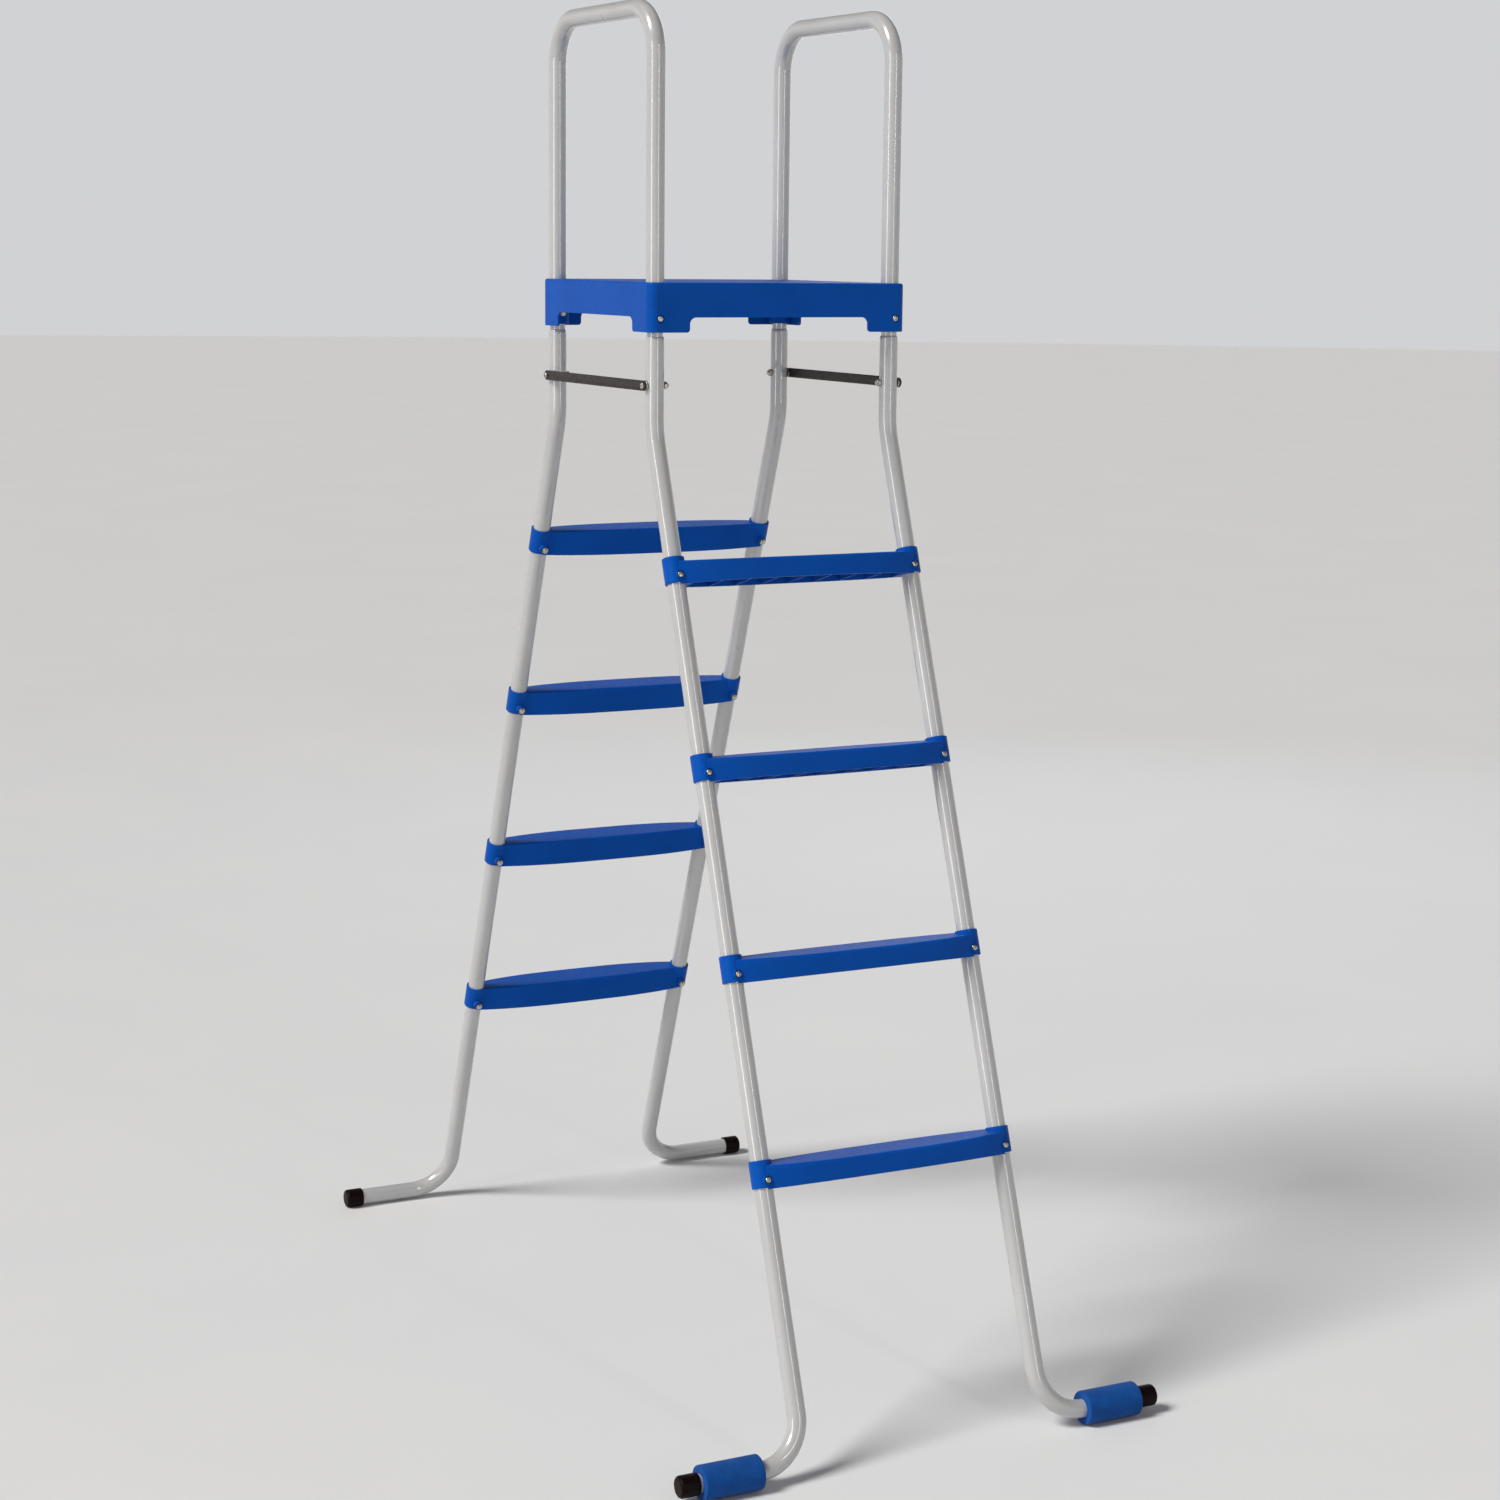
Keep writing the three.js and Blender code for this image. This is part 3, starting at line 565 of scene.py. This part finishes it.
def leg(side, foot_height):
    x = side * HALF_WIDTH
    foot_y = -HALF_DEPTH - (KNEE_HEIGHT - foot_height) * math.tan(SPLAY)
    tube_end = FOOT_REACH - CAP_END_WALL - GAP
    corners = [(Vector((x, -HALF_DEPTH, NECK_TOP)), 0)]
    for i in range(SHOULDER_STEPS + 1):
        share = math.sin(math.pi / 2 * (1 - i / SHOULDER_STEPS))
        z = SHOULDER_BOTTOM + (SHOULDER_TOP - SHOULDER_BOTTOM) * share
        corners.append((Vector((x, -HALF_DEPTH, z)), 0))
    corners += [
        (Vector((x, -HALF_DEPTH, KNEE_HEIGHT)), KNEE_BEND),
        (Vector((x, foot_y, foot_height)), FOOT_BEND),
        (Vector((x + side * tube_end, foot_y, foot_height)), 0),
    ]
    return tube("leg", corners, leg_radius)


# ---------------------------------------------------------------- steps

TREAD_FILLET = 0.0032
TREAD_STATIONS = 32
POCKET_FILLET = 0.0015
POCKET_STATIONS = 4
COLLAR_RIM = 0.0009
BOSS_RIM = 0.0008


def tread_edges(x, inset=0.0):
    """Where the outer and the inner face of the tread are at x."""
    bow = 1 - abs(x / HALF_WIDTH) ** 3
    outer = -(TREAD_HALF_END + TREAD_BOW_OUTER * bow - inset)
    inner = TREAD_HALF_END + TREAD_BOW_INNER * bow - inset
    return outer, inner


def underside(y):
    """Height of the tread's lower edge: it hangs lower on the inner side."""
    outer_y = -(TREAD_HALF_END + TREAD_BOW_OUTER)
    inner_y = TREAD_HALF_END + TREAD_BOW_INNER
    slope = (TREAD_OUTER_FACE - TREAD_INNER_FACE) / (inner_y - outer_y)
    return TREAD_TOP - TREAD_OUTER_FACE + slope * (y - outer_y)


def tread_ring(x, inset, top, fillet, bottom=None):
    """The tread's section at x: straight faces, rounded upper edges, open or sloping below."""
    outer, inner = tread_edges(x, inset)
    low_outer = underside(outer) if bottom is None else bottom
    low_inner = underside(inner) if bottom is None else bottom
    outline = [(outer, low_outer)]
    outline += arc((outer + fillet, top - fillet), fillet, 180, 90, 6)
    outline += arc((inner - fillet, top - fillet), fillet, 90, 0, 6)
    outline.append((inner, low_inner))
    return [(x, y, z) for y, z in outline]


def tread_body():
    rings = []
    for i in range(TREAD_STATIONS + 1):
        x = -HALF_WIDTH + 2 * HALF_WIDTH * i / TREAD_STATIONS
        rings.append(tread_ring(x, 0, TREAD_TOP, TREAD_FILLET))
    return loft("tread", rings)


def tread_pockets():
    """The hollows between the ribs, open below."""
    half_clear = HALF_WIDTH - COLLAR_RADIUS - STEP_WALL
    pitch = 2 * half_clear / (STEP_RIBS + 1)
    half_rib = STEP_WALL / 3
    pockets = []
    for i in range(STEP_RIBS + 1):
        start = -half_clear + i * pitch + half_rib
        rings = []
        for k in range(POCKET_STATIONS + 1):
            x = start + (pitch - 2 * half_rib) * k / POCKET_STATIONS
            roof = TREAD_TOP - STEP_TOP_WALL
            rings.append(tread_ring(x, STEP_WALL, roof, POCKET_FILLET, -FAR))
        pockets.append(loft("pocket", rings))
    return merged("pockets", pockets)


def upright(mesh):
    """Turns a lathe about +Y into one about +Z."""
    return moved(mesh, Matrix.Rotation(math.pi / 2, 4, "X"))


def rounded_rod(radius, low, high, rim):
    """A rod along +Y with rounded rims."""
    profile = [(0, low)]
    profile += arc((radius - rim, low + rim), rim, -90, 0, 4)
    profile += arc((radius - rim, high - rim), rim, 0, 90, 4)
    profile.append((0, high))
    return lathe("rod", profile)


def step_boss(face):
    """The boss around a bolt, from the leg's axis out to a face at the given Y."""
    mesh = rounded_rod(BOSS_RADIUS, 0, abs(face), BOSS_RIM)
    return moved(mesh, Matrix.Rotation(math.pi, 4, "Z")) if face < 0 else mesh


def step_recess(face):
    """A round pocket in a boss, with the bolt's hole behind it."""
    floor = abs(face) - RECESS_DEPTH
    hole = SHANK_RADIUS + GAP
    mesh = lathe("recess", [
        (0, 0), (hole, 0), (hole, floor), (RECESS_RADIUS, floor), (RECESS_RADIUS, FAR), (0, FAR),
    ], SMALL_SIDES)
    return moved(mesh, Matrix.Rotation(math.pi, 4, "Z")) if face < 0 else mesh


def step_mesh(end):
    """A moulded step in the splayed frame: bolt axes at z = 0, outer side towards -Y."""
    tread = cut(tread_body(), tread_pockets())
    step = moved(tread, Matrix.Rotation(SPLAY - TREAD_TILT[end], 4, "X"))
    for side in (-1, 1):
        place = Matrix.Translation((side * HALF_WIDTH, 0, 0))
        collar = upright(rounded_rod(COLLAR_RADIUS, COLLAR_BOTTOM, COLLAR_TOP, COLLAR_RIM))
        step = join(step, moved(collar, place))
        step = join(step, *(moved(step_boss(face), place) for face in (-BOSS_OUTER, BOSS_INNER)))
        bore = upright(rounded_rod(TUBE_RADIUS + GAP, -FAR, FAR, TOOL_RIM))
        step = cut(step, moved(bore, place))
        step = cut(step, *(moved(step_recess(face), place) for face in (-BOSS_OUTER, BOSS_INNER)))
    return soften(step)


def add_steps(end):
    mesh = step_mesh(end)
    for index in range(STEP_COUNT):
        node = f"{end}_step_{index + 1}"
        place = on_ladder(end, KNEES, Matrix.Translation((0, 0, -step_distance(index))))
        show(f"{node}_moulding", mesh, BLUE, place, node, flat=True)
        add_step_fasteners(end, node, index, place)


def add_step_fasteners(end, node, index, place):
    under_head = -(BOSS_OUTER - RECESS_DEPTH + GAP)
    nut_face = BOSS_INNER - RECESS_DEPTH + GAP
    length = nut_face + NUT_HEIGHT + THREAD_PROUD - under_head
    for side in (-1, 1):
        name = SIDES[end, side]
        bolt_node = f"{node}_bolt_{name}"
        spot = place @ Matrix.Translation((side * HALF_WIDTH, under_head, 0))
        turned = spot @ bolt_turn(index + side)
        show(f"{bolt_node}_screw", bolt_mesh(length), STEEL, turned, bolt_node)
        nut_spot = place @ Matrix.Translation((side * HALF_WIDTH, nut_face, 0))
        show(f"{node}_nut_{name}", nut_mesh(), STEEL, nut_spot @ bolt_turn(index * 2 + side))


# ---------------------------------------------------------------- platform

PLATFORM_FILLET = 0.003
PLATFORM_CELLS = 6
PLATFORM_THIN_WALL = 0.0018
SMALLEST_CORNER = 0.001
HOLLOW_FILLET = 0.001
CELL_OVERLAP = 0.001
SOCKET_RIM = 0.0008
SOCKET_OVERLAP = 0.0005
WEB_COVER = 0.001
CUTOUT_REACH = 0.3


def rounded_rectangle(inset):
    """Outline of the platform drawn in by an inset, with round corners."""
    half_x = PLATFORM_HALF_X - inset
    half_y = PLATFORM_HALF_Y - inset
    radius = max(PLATFORM_CORNER - inset, SMALLEST_CORNER)
    outline = []
    for sx, sy, start in ((1, 1, 0), (-1, 1, 90), (-1, -1, 180), (1, -1, 270)):
        centre = (sx * (half_x - radius), sy * (half_y - radius))
        outline += arc(centre, radius, start, start + 90, 10)
    return outline


def platform_ring(inset, z):
    return [(x, y, z) for x, y in rounded_rectangle(inset)]


def platform_block(inset, low, high, fillet):
    """A rounded block with its upper edge filleted."""
    rings = [platform_ring(inset, low)]
    for across, up in arc((fillet, high - fillet), fillet, 180, 90, 6):
        rings.append(platform_ring(inset + across, up))
    return loft("block", rings)


def platform_cells(low, high):
    """The grid of hollows between the ribs under the top."""
    inside_x = PLATFORM_HALF_X - PLATFORM_WALL
    inside_y = PLATFORM_HALF_Y - PLATFORM_WALL
    pitch_x = 2 * inside_x / PLATFORM_CELLS
    pitch_y = 2 * inside_y / PLATFORM_CELLS
    half = PLATFORM_THIN_WALL / 2
    cells = []
    for i in range(PLATFORM_CELLS):
        for j in range(PLATFORM_CELLS):
            x = -inside_x + i * pitch_x
            y = -inside_y + j * pitch_y
            start = (x + half, y + half, low)
            end = (x + pitch_x - half, y + pitch_y - half, high)
            cells.append(block("cell", start, end))
    return merged("cells", cells)


def skirt_cutout(half_opening):
    """Cut-out between two corner tabs, drawn in X and Z and carried along Y."""
    top = CUTOUT_HEIGHT
    left = [(-half_opening - TAB_ROUND, -TAB_ROUND)]
    left += arc((-half_opening - TAB_ROUND, TAB_ROUND), TAB_ROUND, -90, 0, 6)
    fillet_centre = (-half_opening + CUTOUT_FILLET, top - CUTOUT_FILLET)
    left += arc(fillet_centre, CUTOUT_FILLET, 180, 90, 8)
    outline = left + [(-x, z) for x, z in reversed(left)]
    mesh = prism("cutout", outline, -CUTOUT_REACH, CUTOUT_REACH)
    return moved(mesh, Matrix.Rotation(math.pi / 2, 4, "X"))


def platform_corner(sx, sy, roof):
    """A tube socket with its web to the skirt, and what is bored out of them."""
    at_corner = Matrix.Translation((sx * HALF_WIDTH, sy * HALF_DEPTH, 0))
    socket_top = roof + SOCKET_OVERLAP
    socket = upright(rounded_rod(SOCKET_RADIUS, SOCKET_BOTTOM, socket_top, SOCKET_RIM))
    web_y = sorted((0, sy * (PLATFORM_HALF_Y - HALF_DEPTH - WEB_COVER)))
    web = block("web", (-BOSS_RADIUS, web_y[0], SOCKET_BOTTOM), (BOSS_RADIUS, web_y[1], roof))
    bore = upright(rounded_rod(TUBE_RADIUS + GAP, PLATFORM_LOW.z - FAR, RAIL_TOP, TOOL_RIM))
    floor = PLATFORM_HALF_Y - HALF_DEPTH - RECESS_DEPTH
    hole = SHANK_RADIUS + GAP
    recess = lathe("recess", [
        (0, -FAR), (hole, -FAR), (hole, floor), (RECESS_RADIUS, floor), (RECESS_RADIUS, FAR),
        (0, FAR),
    ], SMALL_SIDES)
    if sy < 0:
        recess.transform(Matrix.Rotation(math.pi, 4, "Z"))
    recess.transform(Matrix.Translation((0, 0, PLATFORM_BOLT_HEIGHT)))
    added = [moved(socket, at_corner), moved(web, at_corner)]
    removed = [moved(bore, at_corner), moved(recess, at_corner)]
    return added, removed


def platform_mesh():
    bottom, top = PLATFORM_LOW.z, PLATFORM_HIGH.z
    roof = top - PLATFORM_TOP_WALL
    rib_bottom = roof - PLATFORM_RIB_DEPTH
    outside = platform_block(0, bottom, top, PLATFORM_FILLET)
    hollow = platform_block(PLATFORM_WALL, bottom - FAR, rib_bottom, HOLLOW_FILLET)
    shell = cut(outside, hollow, platform_cells(rib_bottom - CELL_OVERLAP, roof))
    along_x = moved(skirt_cutout(PLATFORM_HALF_X - TAB_ALONG_X), Matrix.Translation((0, 0, bottom)))
    along_y = skirt_cutout(PLATFORM_HALF_Y - TAB_ALONG_Y)
    along_y.transform(Matrix.Translation((0, 0, bottom)) @ Matrix.Rotation(math.pi / 2, 4, "Z"))
    shell = cut(shell, along_x, along_y)
    removals = []
    for sx in (-1, 1):
        for sy in (-1, 1):
            added, removed = platform_corner(sx, sy, roof)
            shell = join(shell, *added)
            removals += removed
    return soften(cut(shell, *removals))


# ---------------------------------------------------------------- feet

CAP_ROUND = 0.0036
CAP_RIM = 0.0005
CAP_SIDES = 64
SLEEVE_RIM = 0.0016
SLEEVE_RINGS = 24
SLEEVE_SIDES = 96
PRESSED_HEIGHT = 0.006
PRESSED_DEPTH = 0.0006


def cap_mesh():
    """Rubber cap: closed end at the origin, open end towards +Y, its corners rounded."""
    bore = TUBE_RADIUS + GAP / 2
    profile = [(0, 0)]
    profile += arc((CAP_RADIUS - CAP_ROUND, CAP_ROUND), CAP_ROUND, -90, 0, 8)
    profile += arc((CAP_RADIUS - CAP_RIM, CAP_LENGTH - CAP_RIM), CAP_RIM, 0, 90, 3)
    profile += [(bore, CAP_LENGTH), (bore, CAP_END_WALL), (0, CAP_END_WALL)]
    return lathe("cap", profile, CAP_SIDES)


def sleeve_mesh():
    """Foam sleeve from the origin towards +Y, with soft rims."""
    bore = TUBE_RADIUS + GAP / 2
    rim = SLEEVE_RIM
    profile = [(bore, 0)]
    profile += arc((SLEEVE_RADIUS - rim, rim), rim, -90, 0, 5)
    straight = SLEEVE_LENGTH - 2 * rim
    for i in range(1, SLEEVE_RINGS):
        profile.append((SLEEVE_RADIUS, rim + straight * i / SLEEVE_RINGS))
    profile += arc((SLEEVE_RADIUS - rim, SLEEVE_LENGTH - rim), rim, 0, 90, 5)
    profile.append((bore, SLEEVE_LENGTH))
    return lathe("sleeve", profile, SLEEVE_SIDES)


def add_foot(end, side, foot_height):
    spot = f"{end}_{SIDES[end, side]}"
    foot_y = -HALF_DEPTH - (KNEE_HEIGHT - foot_height) * math.tan(SPLAY)
    cap = cap_mesh()
    place = on_ladder(end, facing_inwards(side, HALF_WIDTH + FOOT_REACH, foot_y, foot_height))
    show(f"foot_cap_{spot}", cap, RUBBER, place, f"end_cap_{spot}")
    if end == "front":
        sleeve_x = HALF_WIDTH + SLEEVE_START + SLEEVE_LENGTH
        place = on_ladder(end, facing_inwards(side, sleeve_x, foot_y, foot_height))
        node = f"foot_sleeve_{spot}"
        mesh = moved(sleeve_mesh(), place)
        settle(mesh)
        sleeve = show(f"{node}_foam", mesh, FOAM, None, node)


def settle(mesh):
    """Presses a soft piece a little flat where it rests on the floor."""
    for vertex in mesh.vertices:
        share = max(0.0, 1 - vertex.co.z / PRESSED_HEIGHT)
        vertex.co.z += PRESSED_DEPTH * share ** 2


# ---------------------------------------------------------------- fasteners and link bars

METAL_RIM = 0.0004
MADE = {}


def once(key, make):
    """Makes a mesh the first time it is asked for, and hands out the same one after that."""
    if key not in MADE:
        MADE[key] = make()
    return MADE[key]


def bolt_mesh(length):
    """Slotted pan-head bolt: under-head at the origin, head towards -Y, shank towards +Y."""
    return once(("bolt", round(length, 5)), lambda: make_bolt(length))


def make_bolt(length):
    thread_pitch = 0.0008
    thread_depth = 0.00035
    threads = 14
    point = 0.0006
    head_edge = 0.0002
    dome = HEAD_HEIGHT * 0.55
    profile = [(0, -HEAD_HEIGHT), (HEAD_RADIUS * 0.35, -HEAD_HEIGHT * 0.985)]
    for angle in (30, 50, 70, 90):
        swing = math.radians(angle)
        radius = HEAD_RADIUS * math.sin(swing) ** 0.8
        profile.append((radius, -(HEAD_HEIGHT - dome) - dome * math.cos(swing)))
    profile += [(HEAD_RADIUS, -head_edge), (HEAD_RADIUS - head_edge, 0), (SHANK_RADIUS, 0)]
    start = length - threads * thread_pitch
    profile.append((SHANK_RADIUS, start))
    for i in range(threads):
        crest = start + (i + 0.5) * thread_pitch
        profile.append((SHANK_RADIUS - thread_depth, crest - thread_pitch * 0.25))
        profile.append((SHANK_RADIUS, crest + thread_pitch * 0.25))
    profile += [(SHANK_RADIUS - point, length), (0, length)]
    blank = lathe("bolt", profile, SMALL_SIDES)
    half_slot = 0.0005
    depth = 0.0011
    slot = block(
        "slot", (-FAR, -HEAD_HEIGHT - FAR, -half_slot), (FAR, -HEAD_HEIGHT + depth, half_slot)
    )
    return cut(blank, slot)


def nut_mesh():
    return once("nut", make_nut)


def make_nut():
    """Hexagon nut along +Y from the origin, its corners chamfered."""
    chamfer_height = 0.0007
    wide = NUT_RADIUS + 0.0002
    hexagon = lathe("nut", [
        (0, 0), (NUT_RADIUS, 0), (NUT_RADIUS, NUT_HEIGHT), (0, NUT_HEIGHT),
    ], 6)
    flats = NUT_RADIUS * math.cos(math.pi / 6)
    chamfer = lathe("chamfer", [
        (0, 0), (flats, 0), (wide, chamfer_height),
        (wide, NUT_HEIGHT - chamfer_height), (flats, NUT_HEIGHT), (0, NUT_HEIGHT),
    ])
    bore = rounded_rod(SHANK_RADIUS + GAP / 3, -FAR, FAR, TOOL_RIM)
    return cut(boolean(hexagon, chamfer, "INTERSECT"), bore)


def spacer_mesh():
    """A flat ring along +Y from the origin."""
    rim = METAL_RIM
    bore = SHANK_RADIUS + GAP
    profile = [(bore, 0)]
    profile += arc((SPACER_RADIUS - rim, rim), rim, -90, 0, 4)
    profile += arc((SPACER_RADIUS - rim, SPACER_THICKNESS - rim), rim, 0, 90, 4)
    profile.append((bore, SPACER_THICKNESS))
    return lathe("spacer", profile)


def link_bar_mesh():
    """Flat bar with round ends in the YZ plane, from x = 0 to its thickness, edges broken."""
    radius = LINK_BAR_WIDTH / 2
    rim = METAL_RIM
    rings = []
    for x, inset in (
        (0, rim), (rim * 0.3, rim * 0.3), (rim, 0),
        (LINK_BAR_THICKNESS - rim, 0), (LINK_BAR_THICKNESS - rim * 0.3, rim * 0.3),
        (LINK_BAR_THICKNESS, rim),
    ):
        outline = arc((HALF_DEPTH, 0), radius - inset, -90, 90, 16)
        outline += arc((-HALF_DEPTH, 0), radius - inset, 90, 270, 16)
        rings.append([(x, y, z) for y, z in outline])
    bar = loft("link_bar", rings)
    for end in (-1, 1):
        hole = lathe("hole", [
            (0, -FAR), (SHANK_RADIUS + GAP, -FAR), (SHANK_RADIUS + GAP, FAR), (0, FAR),
        ], SMALL_SIDES)
        across = Matrix.Translation((0, end * HALF_DEPTH, 0)) @ Matrix.Rotation(math.pi / 2, 4, "Z")
        bar = cut(bar, moved(hole, across))
    return bar


def add_platform_fastener(end, side, index):
    spot = f"{end}_{SIDES[end, side]}"
    x = side * HALF_WIDTH
    under_head = -(PLATFORM_HALF_Y - RECESS_DEPTH + GAP)
    nut_face = -(HALF_DEPTH - SOCKET_RADIUS - GAP)
    length = nut_face + NUT_HEIGHT + THREAD_PROUD - under_head
    head = on_ladder(end, Matrix.Translation((x, under_head, PLATFORM_BOLT_HEIGHT)))
    nut = on_ladder(end, Matrix.Translation((x, nut_face, PLATFORM_BOLT_HEIGHT)))
    show(f"platform_bolt_{spot}_screw", bolt_mesh(length), STEEL, head @ bolt_turn(index),
         f"platform_bolt_{spot}")
    show(f"platform_nut_{spot}_hex", nut_mesh(), STEEL, nut, f"platform_nut_{spot}")


def add_link_fastener(end, side, index):
    spot = f"{end}_{SIDES[end, side]}"
    spacer_face = HALF_WIDTH + TUBE_RADIUS + GAP + SPACER_THICKNESS
    head_face = spacer_face + GAP + LINK_BAR_THICKNESS + GAP
    nut_face = HALF_WIDTH - TUBE_RADIUS - GAP
    length = head_face - nut_face + NUT_HEIGHT + THREAD_PROUD
    spacer = once("spacer", spacer_mesh)
    for node, mesh, x, turn in (
        (f"link_spacer_{spot}", spacer, spacer_face, 0),
        (f"link_bolt_{spot}", bolt_mesh(length), head_face, index),
        (f"link_nut_{spot}", nut_mesh(), nut_face, 1),
    ):
        place = on_ladder(end, facing_inwards(side, x, -HALF_DEPTH, LINK_HEIGHT), bolt_turn(turn))
        show(f"{node}_metal", mesh, STEEL, place, node)


# ---------------------------------------------------------------- assembly


def add_rails_and_bars():
    bar = link_bar_mesh()
    inner_face = HALF_WIDTH + TUBE_RADIUS + GAP + SPACER_THICKNESS + GAP
    for side, name in ((-1, "left"), (1, "right")):
        show(f"handrail_{name}_tube", handrail(side), WHITE, SHIFT, f"handrail_{name}")
        x = inner_face if side > 0 else -inner_face - LINK_BAR_THICKNESS
        show(f"link_bar_{name}_metal", bar, BAR,
             SHIFT @ Matrix.Translation((x, 0, LINK_HEIGHT)), f"link_bar_{name}")


def add_ladder(end, foot_height):
    for side in (-1, 1):
        spot = f"{end}_{SIDES[end, side]}"
        show(f"leg_{spot}_tube", leg(side, foot_height), WHITE, on_ladder(end), f"leg_{spot}")
        add_foot(end, side, foot_height)
        add_platform_fastener(end, side, side + 4 * (end == "rear"))
        add_link_fastener(end, side, 2 * side + 3 * (end == "rear"))
    add_steps(end)


add_rails_and_bars()
show("platform_moulding", platform_mesh(), BLUE, SHIFT, "platform", flat=True)
add_ladder("front", SLEEVE_RADIUS)
add_ladder("rear", CAP_RADIUS)

# ---------------------------------------------------------------- floor, light and camera

CAMERA_PLACE = Vector((-1.6133, -3.2949, 1.3626))
CAMERA_HEADING = math.radians(26.725)
CAMERA_PITCH = math.radians(-9.744)
CAMERA_ROLL = math.radians(0.592)
CAMERA_LENS = 70.405
FLOOR_RADIUS = 40
FLOOR_THICKNESS = 0.02
FLOOR_SIDES = 96
SKY_COLOUR = (0.97, 0.975, 1.0)
HORIZON = 0.66
OVERHEAD = 0.12
HORIZON_TOP = 0.08
OVERHEAD_BOTTOM = 0.50
WARM = (1.0, 0.985, 0.96)
COOL = (0.80, 0.84, 1.0)


def add_floor():
    outline = arc((0, 0), FLOOR_RADIUS, 0, 360, FLOOR_SIDES)[:-1]
    mesh = prism("floor", outline, -FLOOR_THICKNESS, 0)
    mesh.materials.append(pale_floor())
    floor = bpy.data.objects.new("floor", mesh)
    bpy.context.scene.collection.objects.link(floor)


def add_area_light(name, place, target, size, power, colour):
    data = bpy.data.lights.new(name, "AREA")
    data.shape = "RECTANGLE"
    data.size, data.size_y = size
    data.energy = power
    data.color = colour
    light = bpy.data.objects.new(name, data)
    light.location = place
    light.rotation_euler = (Vector(target) - Vector(place)).to_track_quat("-Z", "Y").to_euler()
    bpy.context.scene.collection.objects.link(light)


def add_world():
    """Soft surroundings: as pale as the floor at the horizon, and dimmer overhead."""
    world = bpy.data.worlds.new("studio")
    world.use_nodes = True
    nodes, links = world.node_tree.nodes, world.node_tree.links
    background = nodes["Background"]
    background.inputs["Color"].default_value = (*SKY_COLOUR, 1)
    direction = nodes.new("ShaderNodeTexCoord").outputs["Generated"]
    split = nodes.new("ShaderNodeSeparateXYZ")
    ramp = nodes.new("ShaderNodeMapRange")
    ramp.interpolation_type = "SMOOTHSTEP"
    for socket, value in (
        ("From Min", HORIZON_TOP),
        ("From Max", OVERHEAD_BOTTOM),
        ("To Min", HORIZON),
        ("To Max", OVERHEAD),
    ):
        ramp.inputs[socket].default_value = value
    links.new(direction, split.inputs["Vector"])
    links.new(split.outputs["Z"], ramp.inputs["Value"])
    links.new(ramp.outputs["Result"], background.inputs["Strength"])
    bpy.context.scene.world = world


def add_sun(direction, strength, spread, colour):
    data = bpy.data.lights.new("key", "SUN")
    data.energy = strength
    data.angle = spread
    data.color = colour
    light = bpy.data.objects.new("key", data)
    light.rotation_euler = Vector(direction).to_track_quat("-Z", "Y").to_euler()
    bpy.context.scene.collection.objects.link(light)


def add_lights():
    add_sun((1.0, 0.06, -1.05), 3.1, math.radians(20), WARM)
    add_area_light("side", (-4.2, -1.2, 1.8), (0, 0, 0.9), (0.7, 2.5), 26, WARM)
    add_area_light("strip", (0.6, -4.2, 1.9), (0, 0, 0.9), (0.30, 2.6), 17, WARM)
    add_area_light("back", (2.6, 3.2, 2.2), (0, 0, 1.0), (1.5, 2.0), 10, COOL)


def add_camera():
    heading, pitch, roll = CAMERA_HEADING, CAMERA_PITCH, CAMERA_ROLL
    forward = Vector((
        math.sin(heading) * math.cos(pitch), math.cos(heading) * math.cos(pitch), math.sin(pitch),
    ))
    level = Vector((math.cos(heading), -math.sin(heading), 0))
    up = level.cross(forward)
    right = level * math.cos(roll) + up * math.sin(roll)
    top = up * math.cos(roll) - level * math.sin(roll)
    data = bpy.data.cameras.new("camera")
    data.lens = CAMERA_LENS
    data.sensor_width = 36
    camera = bpy.data.objects.new("camera", data)
    camera.matrix_world = Matrix.Translation(CAMERA_PLACE) @ Matrix((
        (right.x, top.x, -forward.x, 0),
        (right.y, top.y, -forward.y, 0),
        (right.z, top.z, -forward.z, 0),
        (0, 0, 0, 1),
    ))
    bpy.context.scene.collection.objects.link(camera)
    bpy.context.scene.camera = camera


add_floor()
add_world()
add_lights()
add_camera()
bpy.context.scene.view_settings.view_transform = "Standard"
